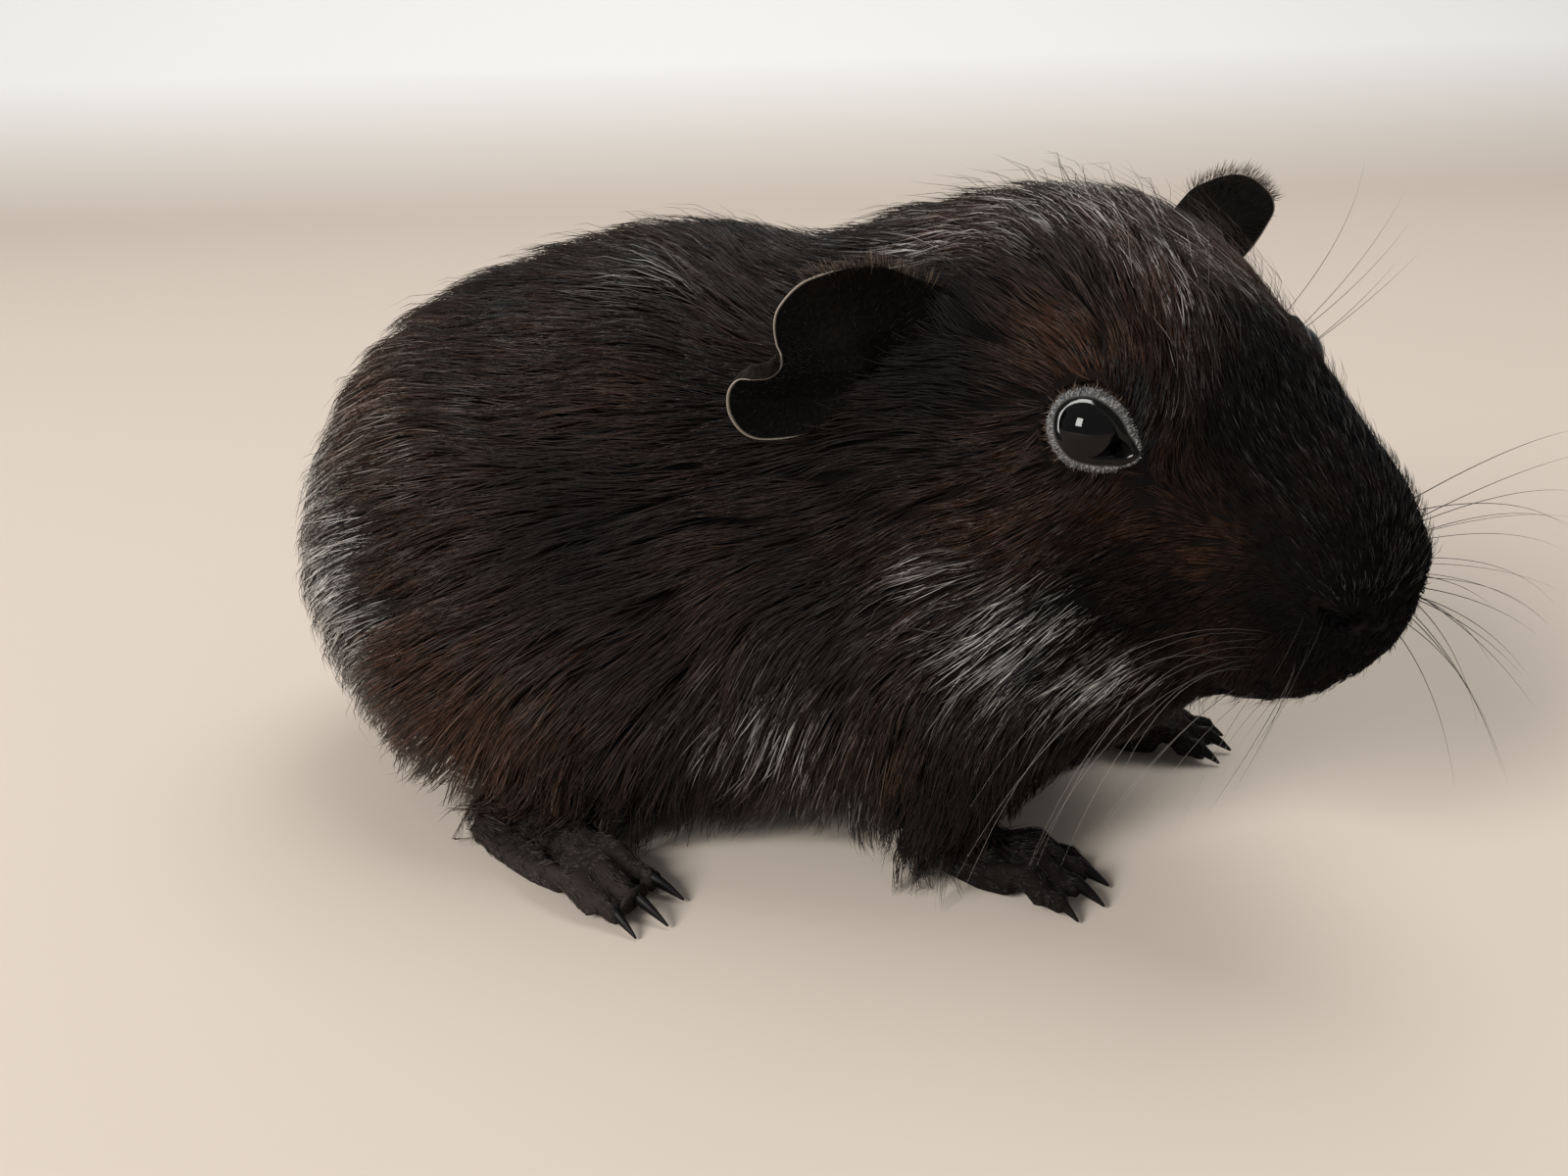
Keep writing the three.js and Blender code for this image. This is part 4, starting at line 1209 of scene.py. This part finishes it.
def addLid(side, columns=160):
    # the section carried round the edge of the lids, closed both ways
    place, flat = np.arange(columns) / columns, np.ones(columns)
    points = [lidPoint(side, place, out * flat, forward * flat) for out, forward, _ in lidSection]
    points = np.stack(points, axis=1)
    faces = gridFaces(columns, len(lidSection), closeRows=True, closeColumns=True)
    mesh = makeMesh("lid_" + side, points.reshape(-1, 3), faces if side == "right" else faces[:, ::-1])
    addAttribute(mesh, "across", np.tile(lidSection[:, 2], columns))
    addPiece("lid_" + side, mesh, lidMaterial)


# Down is too fine to shine much and pales towards its lightest hairs: grey round the right eye, brown where
# it meets the coat and all but black on the ears. Round the left eye, on the side turned from the window, the
# same grey down is painted dark: painted shade.
downMaterials = dict(
    right=hairMaterial("fine grey down", [(0, "#1b1918"), (0.4, "#5f5e5e"), (1, "#bab9b9")], 0.5),
    left=hairMaterial("fine grey down in painted shade", [(0, "#12100f"), (0.4, "#2b2928"), (1, "#565352")], 0.5),
)
fringeMaterial = hairMaterial("brown fringe", [(0, "#14100e"), (0.6, "#3d2a1e"), (1, "#857465")], 0.45)
earDown = hairMaterial("dark down of the ears", [(0, "#080707"), (0.8, "#121110"), (1, "#3a3836")], 0.5)


def addDown(name, roots, ways, ups, length, width, rise, material, slot="coat"):
    # short separate hairs: from each root along its way, lifting off by rise, 3-sided and closed
    count = len(roots)
    across = np.cross(ups, ways)
    longs = length * rng.uniform(0.6, 1.1, count)[:, None]
    spokes = [(1, -0.4), (-1, -0.4), (0, 0.9)]
    rings = []
    for t, wide in faceRings:
        centre = roots + ways * longs * t + ups * longs * rise * (2 * t - t * t)
        if wide == 0:
            rings.append(centre[:, None])
            continue
        ring = [centre + (across * c + ups * s) * width * wide / 2 for c, s in spokes]
        rings.append(np.stack(ring, axis=1))
    points = np.concatenate(rings, axis=1)
    unwrap = nearestUnwrap(roots)
    return addCoatPiece(name, points, unwrap, rng.random(count), faceRings, material)


def nearestUnwrap(points):
    # where the quad of the skin nearest to each point lies on the unwrap, from the squared
    # distances to the quads around, written out as p² - 2pq + q²
    low, high = points.min(axis=0) - 12, points.max(axis=0) + 12
    near = np.where(np.all((skinMiddles > low) & (skinMiddles < high), axis=1))[0]
    quads = skinMiddles[near]
    gaps = (points**2).sum(axis=1)[:, None] - 2 * points @ quads.T + (quads**2).sum(axis=1)
    return skinUv[near[np.argmin(gaps, axis=1)], 0]


lidHair = dict(  # near, far and length in mm, rise as a share of the length
    down=dict(count=3600, near=0.02, far=1.25, length=0.6, rise=0.35),
    fringe=dict(count=900, near=1.05, far=1.7, length=1.6, rise=0.25),
    width=0.065,
)


def addLidDown(name, side, material, count, near, far, length, rise):
    # hairs of the rim, from near to far mm outside the lids' edge, leaning away from the eye
    place = rng.random(count)
    at = rng.uniform(near, far, count)
    forward = np.interp(at, lidSection[lidTop, 0], lidSection[lidTop, 1])
    roots = lidPoint(side, place, at, forward - 0.03)
    ways = unit(lidPoint(side, place, at + 0.4, forward - 0.1) - roots)
    outwards = unit(roots - eyes[side])
    ways = unit(ways + 0.3 * rng.normal(size=ways.shape))
    ups = unit(outwards - ways * np.sum(ways * outwards, axis=1, keepdims=True))
    addDown(f"lid_{name}_{side}", roots, ways, ups, length, lidHair["width"], rise, material)


# stiff black hair, with a few pale ones among it
browMaterial = hairMaterial("brow bristles", [(0, "#060505"), (0.85, "#100e0d"), (1, "#3f3a36")], 0.45)


bristles = dict(  # lengths and width in mm, rise as a share of the length
    brow=dict(count=700, length=3.8),
    bridge=dict(count=1500, length=2.6),
    width=0.08,
    rise=0.5,
)


def addBristles(name, zone, count, length):
    # single hairs that stand off the fur where zone is true of the points of the skin
    roots = skinPoints[rng.choice(np.where(zone)[0], count)] + rng.normal(size=(count, 3)) * 0.2
    roots, ups = ontoSkin(roots)
    size = length, bristles["width"], bristles["rise"]
    addDown("bristles_" + name, roots, lieOf(roots, ups), ups, *size, browMaterial)


onHead = intoHead(skinPoints)
for side in eyes:
    # round the upper front of each eye, towards the bridge of the head
    away = np.linalg.norm(skinPoints - eyes[side], axis=1)
    inwards = np.abs(intoHead(eyes[side][None])[0, 1]) - np.abs(onHead[:, 1])
    brow = (away > 3.9) & (away < 8.5) & (inwards > 1) & (skinPoints[:, 2] > eyes[side][2] - 3)
    addBristles("brow_" + side, brow, **bristles["brow"])
bridge = (onHead[:, 0] > 24) & (np.abs(onHead[:, 1]) < 9) & (onHead[:, 2] > -22)
addBristles("bridge", bridge & (noseBareness(skinPoints) < 0.5), **bristles["bridge"])
for side in eyes:
    addEyeball(side, **ballSettings)
    addLid(side)
    addLidDown("down", side, downMaterials[side], **lidHair["down"])
    addLidDown("fringe", side, fringeMaterial, **lidHair["fringe"])
print("eyes and lids made")


# Each ear in its own axes: out from the root, forwards, up, in mm. The rim runs from the upper root
# round the tip to the lower root. middle: where the rings of the sheet begin. folded: between which
# places of the rim the edge turns over. fringed: the share of the rim with longer hair.
ears = {
    "right": dict(
        root=(3, -23, 0),
        sweep=13,
        rim=[
            (-4, -3.2, 4.0), (2, -2.4, 8.0), (7.0, -0.6, 10.8), (12.5, 0.8, 11.9), (17.2, 0.6, 11.3),
            (20.2, 0.1, 8.9), (21.1, -0.3, 6.6), (20.9, -0.9, 3.8), (20.5, -0.9, 2.4), (20.9, -0.2, 1.0),
            (22.7, 1.0, 0.5), (24.9, 1.6, 0.9), (26.9, 1.7, 1.3), (28.1, 1.2, -0.3), (28.0, 0.3, -3.4),
            (26.3, -0.6, -6.6), (23.4, -1.2, -8.3), (18, -1.8, -8.9), (11, -2.8, -7.6), (-4, -3.6, -4.0),
        ],
        middle=(9, 0, -2.8),
        folded=(9.1, 12.3),
        fringed=(0.02, 0.2),
    ),
    "left": dict(
        root=(2, 20, 0.5),
        sweep=17,
        rim=[
            (-3, -2.5, 4.5), (2, -2.3, 7.9), (6, -1.6, 8.7), (11, -0.6, 8.6), (15.5, 0.1, 7.4),
            (19, 0.4, 5.4), (22, 0.5, 3.1), (23, 0.6, 0.8), (22, 0.3, -0.9), (19.5, 0.1, -2.7),
            (16.5, -0.1, -4.0), (10, -0.8, -5.5), (-3, -3, -4.5),
        ],
        middle=(9, 0, 1.5),
        fringed=(0.1, 0.5),
    ),
}
earSettings = dict(  # mm
    fold=1.9, cup=3.4, thick=0.55, thin=0.12, rows=40, columns=170,
    softened=22,  # points of the rim on each side that its smoothed copy is a mean of
)
earHair = dict(  # length and width in mm, rise as a share of the length
    down=dict(count=900, length=1.2, width=0.05, rise=0.25),
    fringe=dict(count=320, length=2.6, width=0.06, rise=0.2),
)


def earPlace(side, local):
    # from an ear's own axes (out, forwards, up) to the part's frame
    way, s = sideways[side], math.radians(ears[side]["sweep"])
    out = np.array([-math.sin(s), way * math.cos(s), 0])
    front = np.array([math.cos(s), way * math.sin(s), 0])
    axes = np.column_stack([out, front, [0, 0, 1]])
    return outOfHead(np.array(ears[side]["root"]) + local @ axes.T)


def earWay(side, local, ways):
    # directions in an ear's own axes, at points there, as directions in the part's frame
    return unit(earPlace(side, local + ways) - earPlace(side, local))


def earSheet(side):
    # the middle surface of the ear, rings from its middle out to the rim, and how far out each is
    ear = ears[side]
    rim = roundCurve(ear["rim"], earSettings["columns"])
    share = np.linspace(0.03, 1, earSettings["rows"]) ** 0.8
    centre = np.array(ear["middle"])
    # inside, the rings follow a rim with its notch smoothed out, so that the sheet never crosses itself
    half = earSettings["softened"]
    window = np.hanning(2 * half + 1) / np.hanning(2 * half + 1).sum()
    around = np.concatenate([rim[-half:], rim, rim[:half]])
    soft = np.column_stack([np.convolve(around[:, axis], window, "valid") for axis in range(3)])
    sheet = centre + (soft - centre) * share[:, None, None]
    sheet = sheet + (rim - soft) * ramp(share, 0.7, 1)[:, None, None]
    # the cup deepens from the rim inwards, and a soft ridge runs out from the root
    sheet[..., 1] -= earSettings["cup"] * (1 - share[:, None] ** 2.2)
    ridge = np.exp(-(((sheet[..., 2] - 1.5) / 2.6) ** 2)) * ramp(sheet[..., 0], 2, 12)
    sheet[..., 1] += 0.5 * ridge * (1 - share[:, None] ** 3)
    return sheet, share


def addEar(side):
    sheet, share = earSheet(side)
    rows, columns = sheet.shape[:2]
    flat = sheet.reshape(-1, 3)
    normals = vertexNormals(flat, gridFaces(rows, columns, closeColumns=True)).reshape(sheet.shape)
    if normals[rows // 2, :, 1].mean() < 0:
        normals = -normals
    half = (earSettings["thick"] + (earSettings["thin"] - earSettings["thick"]) * share**2)[:, None, None] / 2
    front, back = sheet + normals * half, sheet - normals * half
    edge = sheet[-1:] + unit(sheet[-1:] - sheet[-2:-1]) * 0.06
    rings = np.concatenate([front, edge, back[::-1]])
    points = np.concatenate([[front[0].mean(axis=0)], rings.reshape(-1, 3), [back[0].mean(axis=0)]])
    placed = earPlace(side, points)
    faces = latheFaces(len(rings), columns)
    inward = vertexNormals(placed, faces)[1 + columns * (rows // 2)] @ (placed[-1] - placed[0]) > 0
    mesh = makeMesh("ear_skin_" + side, placed, faces[:, ::-1] if inward else faces)
    outwards = np.concatenate([share, [1.02], share[::-1]])[:, None]
    outwards = outwards - 0.06 * (1 - ramp(rings[..., 0] + 0.6 * np.minimum(rings[..., 2], 0), 9, 16))
    behind = np.concatenate([np.zeros(rows), [0.5], np.ones(rows)])[:, None] * np.ones(columns)
    for name, values in (("rimward", outwards), ("behind", behind)):
        addAttribute(mesh, name, np.concatenate([[0], values.ravel(), [values[-1, 0]]]))
    addPiece("ear_skin_" + side, mesh, earMaterial, [f"ear_{side}"])
    return sheet, normals, share


def addEarFold(side, rows=12, columns=40):
    # where the rim turns over, the back of the ear shows above it as a small downy roll
    rim = np.array(ears[side]["rim"], float)
    first, last = ears[side]["folded"]
    along = np.linspace(0, 1, columns)
    fine = 40  # points of the curve for each place of the rim
    line = roundCurve(rim, fine * len(rim))[(np.linspace(first, last, columns) * fine).astype(int)]
    rise = earSettings["fold"] * ramp(1 - along, -0.02, 0.5)
    rings = []
    for a in np.linspace(0, 1.3, rows) * math.pi / 2:
        forward = 0.45 * np.cos(a) * rise / 2.2 - 0.3
        rings.append(line + np.column_stack([np.zeros(columns), forward, rise * math.sin(a)]))
    outer = np.stack(rings)
    inner = outer - np.array([0, 0.25, 0.08])
    points = earPlace(side, np.concatenate([outer, inner[::-1]]).reshape(-1, 3))
    step = np.arange(rows - 1)
    end = np.stack([step, step + 1, 2 * rows - 2 - step, 2 * rows - 1 - step], axis=1) * columns
    body = np.concatenate([gridFaces(2 * rows, columns, closeRows=True), end, end[:, ::-1] + columns - 1])
    mesh = makeMesh("ear_fold_" + side, points, body[:, ::-1])
    grid = np.repeat(np.arange(2 * rows), columns)
    addAttribute(mesh, "rimward", np.where((grid == 0) | (grid == 2 * rows - 1), 1.0, 0.9))
    addAttribute(mesh, "behind", np.full(len(points), 1.0))
    addPiece("ear_fold_" + side, mesh, earMaterial)


# Ear skin is thin and bare, dull black in the cup and a little paler behind, with a fine grain, and
# light shines through its edge as a pale rim.
earMaterial, earTree, earShader = newMaterial(
    "thin black ear skin with a pale rim", {"Roughness": 0.55, "Specular IOR Level": 0.06}
)
rimward, behind = (
    addNode(earTree, "Attribute", attribute_name=name).outputs["Fac"] for name in ("rimward", "behind")
)
earWhere = addNode(earTree, "TexCoord").outputs["Object"]
speckle = addNode(earTree, "TexNoise", {"Scale": 1600, "Detail": 3}, {"Vector": earWhere})  # grains of 0.6 mm
speckle = speckle.outputs["Fac"]
insideTone, outsideTone = (
    addNode(earTree, "ValToRGB", {}, {"Fac": speckle}, stops).outputs["Color"]
    for stops in ([(0.3, "#070606"), (0.7, "#13110f")], [(0.35, "#171412"), (0.65, "#2b2725")])
)
face = {"Factor": behind, "A": insideTone, "B": outsideTone}
face = addNode(earTree, "Mix", {}, face, data_type="RGBA").outputs["Result"]
rimTone = addNode(earTree, "MapRange", {"From Min": 0.98, "From Max": 1.0}, {"Value": rimward})
whole = {"Factor": rimTone.outputs["Result"], "A": face}
whole = addNode(earTree, "Mix", {"B": linear("#9c938a")}, whole, data_type="RGBA")
earTree.links.new(whole.outputs["Result"], earShader.inputs["Base Color"])
earBump = addNode(earTree, "Bump", {"Strength": 0.25, "Distance": 0.0002}, {"Height": speckle})
earTree.links.new(earBump.outputs["Normal"], earShader.inputs["Normal"])


def addEarDown(side, sheet, normals, share, count, length, width, rise):
    # sparse down: fine hairs over the front and the edge, pointing out along the ear
    row = (rng.beta(3, 1.6, count) * (len(share) - 2)).astype(int)
    column = rng.integers(0, sheet.shape[1], count)
    roots = sheet[row, column] + normals[row, column] * 0.15
    ways = unit(sheet[row + 1, column] - sheet[row, column] + 0.05 * rng.normal(size=roots.shape))
    ways, ups = (earWay(side, roots, v) for v in (ways, normals[row, column]))
    roots = earPlace(side, roots)
    addDown("ear_down_" + side, roots, ways, ups, length, width, rise, earDown, "ear_skin")


def addEarFringe(side, sheet, normals, share, count, length, width, rise):
    # longer hair along the top of the rim, leaning outwards and back
    first, last = ears[side]["fringed"]
    column = (rng.uniform(first, last, count) * sheet.shape[1]).astype(int)
    row = len(share) - 1 - rng.integers(0, 5, count)
    roots = sheet[row, column] + normals[row, column] * rng.choice([-0.1, 0.1], count)[:, None]
    ways = sheet[-1, column] - sheet[-8, column] + np.array([0.6, -0.5, 0.3])
    ways = unit(ways + 0.3 * rng.normal(size=roots.shape))
    ups = unit(np.cross(ways, rng.normal(size=roots.shape)))
    ways, ups = (earWay(side, roots, v) for v in (ways, ups))
    roots = earPlace(side, roots)
    addDown("ear_fringe_" + side, roots, ways, ups, length, width, rise, fringeMaterial, "ear_skin")


for side in ears:
    sheet = addEar(side)
    addEarDown(side, *sheet, **earHair["down"])
    addEarFringe(side, *sheet, **earHair["fringe"])
addEarFold("right")
print("ears made")


# Horn worn smooth by walking: dark, with a dull polish, a little paler towards its tip.
clawStops = [(0, "#0b0909"), (0.6, "#070606"), (1, "#191614")]
clawLook = {"Roughness": 0.42, "Specular IOR Level": 0.1}
clawMaterial = rampMaterial("dark polished horn", "along", clawStops, clawLook)[0]
clawSettings = dict(  # widths and bury in mm, arch and ridge as shares
    rows=16, columns=14, rootWidth=1.1, tipWidth=0.18, arch=0.05, ridge=0.04, bury=1.8
)


def clawPoints(node):
    # a horn from the CAD claw's root to its tip, arched upwards, with fine ridges along it
    root, tip = clawLine(node)
    forward = unit(tip - root)
    root = root - forward * clawSettings["bury"]
    t = np.linspace(0, 1, clawSettings["rows"])[:, None]
    lift = np.array([0, 0, np.linalg.norm(tip - root) * clawSettings["arch"]])
    line = root + (tip - root) * t + lift * 4 * t * (1 - t) * 0.5 * (1 + t * 0.4)
    along = unit(np.gradient(line, axis=0))
    side = unit(np.cross([0, 0, 1], along))
    up = np.cross(along, side)
    turn = np.linspace(0, 2 * math.pi, clawSettings["columns"], endpoint=False)
    size = clawSettings["rootWidth"] + (clawSettings["tipWidth"] - clawSettings["rootWidth"]) * t**1.9
    size = size * (0.25 + 0.75 * ramp(t, 0, 0.35)) * (1 + clawSettings["ridge"] * np.cos(turn * 4))
    rings = line[:, None] + side[:, None] * (size * 0.85 * np.cos(turn))[..., None]
    rings = rings + up[:, None] * (size * 1.1 * np.sin(turn))[..., None]
    rings[..., 2] = np.maximum(rings[..., 2], 0.1)
    return np.concatenate([line[:1], rings.reshape(-1, 3), line[-1:] + along[-1:] * 0.2])


def addClaws(end, side):
    nodes = sorted(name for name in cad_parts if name.startswith(f"{end}_claw_{side}_"))
    faces = latheFaces(clawSettings["rows"], clawSettings["columns"])
    horns = [clawPoints(node) for node in nodes]
    faces = repeated(faces, len(horns), len(horns[0]))
    mesh = makeMesh(f"claws_{end}_{side}", np.concatenate(horns), faces)
    along = np.repeat(np.linspace(0, 1, clawSettings["rows"]), clawSettings["columns"])
    addAttribute(mesh, "along", np.tile(np.concatenate([[0], along, [1]]), len(nodes)))
    addPiece(f"claws_{end}_{side}", mesh, clawMaterial, nodes)


for end in ("hind", "front"):
    for side in ("right", "left"):
        addClaws(end, side)
print("claws made")


whiskerSettings = dict(
    rows=14,  # rings along a whisker
    sides=5,
    ahead=14.5,  # mm, how far past the CAD box a whisker may reach
    stray=0.9,  # mm, of the roots from their row
    turn=0.09,  # of the ways from their row's
)


def longHairs(roots, ways, lengths, bends, width):
    # tapering hairs: each leaves its root along its way and bends off with the square of the length
    t = np.linspace(0, 1, whiskerSettings["rows"])[:, None, None]
    line = roots + ways * lengths[:, None] * t + bends * lengths[:, None] * t**2
    along = unit(np.gradient(line, axis=0))
    side = unit(np.cross(along, [0.3, 0.2, 0.93]))
    up = np.cross(side, along)
    turn = np.linspace(0, 2 * math.pi, whiskerSettings["sides"], endpoint=False)[:, None]
    size = (width / 2 * (1 - 0.9 * t**1.3))[..., None]
    rings = line[:, :, None] + size * (side[:, :, None] * np.cos(turn) + up[:, :, None] * np.sin(turn))
    rings = rings.transpose(1, 0, 2, 3)
    ends = line[-1][:, None] + along[-1][:, None] * 0.1
    return np.concatenate([line[0][:, None], rings.reshape(len(roots), -1, 3), ends], axis=1)


def addLongHairs(name, points, material):
    rows, sides = whiskerSettings["rows"], whiskerSettings["sides"]
    count, each = points.shape[:2]
    faces = latheFaces(rows, sides, flip=True)
    mesh = makeMesh(name, points.reshape(-1, 3), repeated(faces, count, each))
    along = np.concatenate([[0], np.repeat(np.linspace(0, 1, rows), sides), [1]])
    addAttribute(mesh, "tone", np.tile(along, count))
    addPiece(name, mesh, material)


# whiskers are thick, smooth and dark at the root, and the long ones pale to a glassy tip
darkWhisker = hairMaterial("dark whisker", [(0, "#0c0a09"), (1, "#1c1816")], 0.4)
paleStops = [(0, "#14110f"), (0.35, "#4a4541"), (1, "#a39d97")]
paleWhisker = hairMaterial("whisker paling to its tip", paleStops, 0.35)

# Rows of whiskers: how many, the first and the last root, the ways of the first and the last, the
# bend, the lengths of the first and the last (mm, in the head's axes), width and material.
whiskerRows = [
    (11, (49, 10, -16), (46, 12, -27),  # left lip, above
     (0.5, 0.75, 0.5), (0.45, 0.8, -0.2), (-0.2, 0.0, -0.35), (26, 36), 0.13, darkWhisker),
    (11, (51, 8, -24), (47, 10, -32),  # left lip, below
     (0.5, 0.7, -0.2), (0.35, 0.55, -0.7), (-0.15, 0.0, -0.35), (14, 26), 0.12, darkWhisker),
    (9, (48.5, -11.6, -25), (47, -11, -32),  # right lip, long and hanging
     (-0.34, -0.89, 0.31), (-0.3, -0.75, 0.45), (0.14, 0.05, -0.85), (50, 26), 0.07, paleWhisker),
    (7, (43, -10, -37), (49, -7, -37),  # right jaw
     (-0.35, -0.5, -0.4), (-0.2, -0.4, -0.8), (-0.05, 0.0, -0.55), (20, 9), 0.065, paleWhisker),
    (5, (51, -8, -22), (49, -9, -30),  # right lip, in front
     (0.45, -0.6, -0.2), (0.2, -0.6, -0.7), (-0.3, 0.0, -0.35), (8, 16), 0.1, darkWhisker),
    (5, (33, 11, 1), (26, 15, 1),  # left brow
     (0.35, 0.75, 0.45), (0.1, 0.8, 0.6), (-0.3, 0.0, -0.1), (18, 28), 0.09, darkWhisker),
    (4, (31, -12, 1), (25, -16, 1),  # right brow
     (0.0, -0.6, 0.8), (-0.3, -0.6, 0.7), (-0.45, 0.0, 0.0), (8, 14), 0.08, darkWhisker),
    (16, (52, -3, -33), (38, -8, -39),  # right chin
     (-0.1, -0.1, -1.0), (-0.5, -0.1, -0.9), (-0.3, 0.0, 0.1), (3, 6), 0.08, darkWhisker),
    (16, (52, 3, -33), (38, 8, -39),  # left chin
     (-0.1, 0.1, -1.0), (-0.5, 0.1, -0.9), (-0.3, 0.0, 0.1), (3, 6), 0.08, darkWhisker),
]
foremost = cadBox[1][0] * 1000 + whiskerSettings["ahead"]


def addWhiskerRow(index, count, first, last, firstWay, lastWay, bend, lengths, width, material):
    share = np.linspace(0, 1, count)[:, None]
    roots, ways = (
        np.array(start) + (np.array(end) - start) * share + rng.normal(size=(count, 3)) * spread
        for start, end, spread in (
            (first, last, whiskerSettings["stray"]),
            (firstWay, lastWay, whiskerSettings["turn"]),
        )
    )
    roots, normals = ontoSkin(outOfHead(roots))
    bends = np.tile(np.array(bend) @ headTurn.T, (count, 1)) * rng.uniform(0.6, 1.3, (count, 1))
    longs = (lengths[0] + (lengths[1] - lengths[0]) * share[:, 0]) * rng.uniform(0.85, 1.1, count)
    points = longHairs(roots - normals * 0.5, unit(ways @ headTurn.T), longs, bends, width)
    # a hair that would reach too far ahead shrinks about its root
    reach = points[..., 0].max(axis=1) - points[:, 0, 0]
    shrink = np.minimum(1, (foremost - points[:, 0, 0]) / np.maximum(reach, 1))
    points = points[:, :1] + (points - points[:, :1]) * shrink[:, None, None]
    points[..., 2] = np.maximum(points[..., 2], 0.5)
    addLongHairs(f"whiskers_{index}", points, material)


for index, row in enumerate(whiskerRows):
    addWhiskerRow(index, *row)
print("whiskers made")
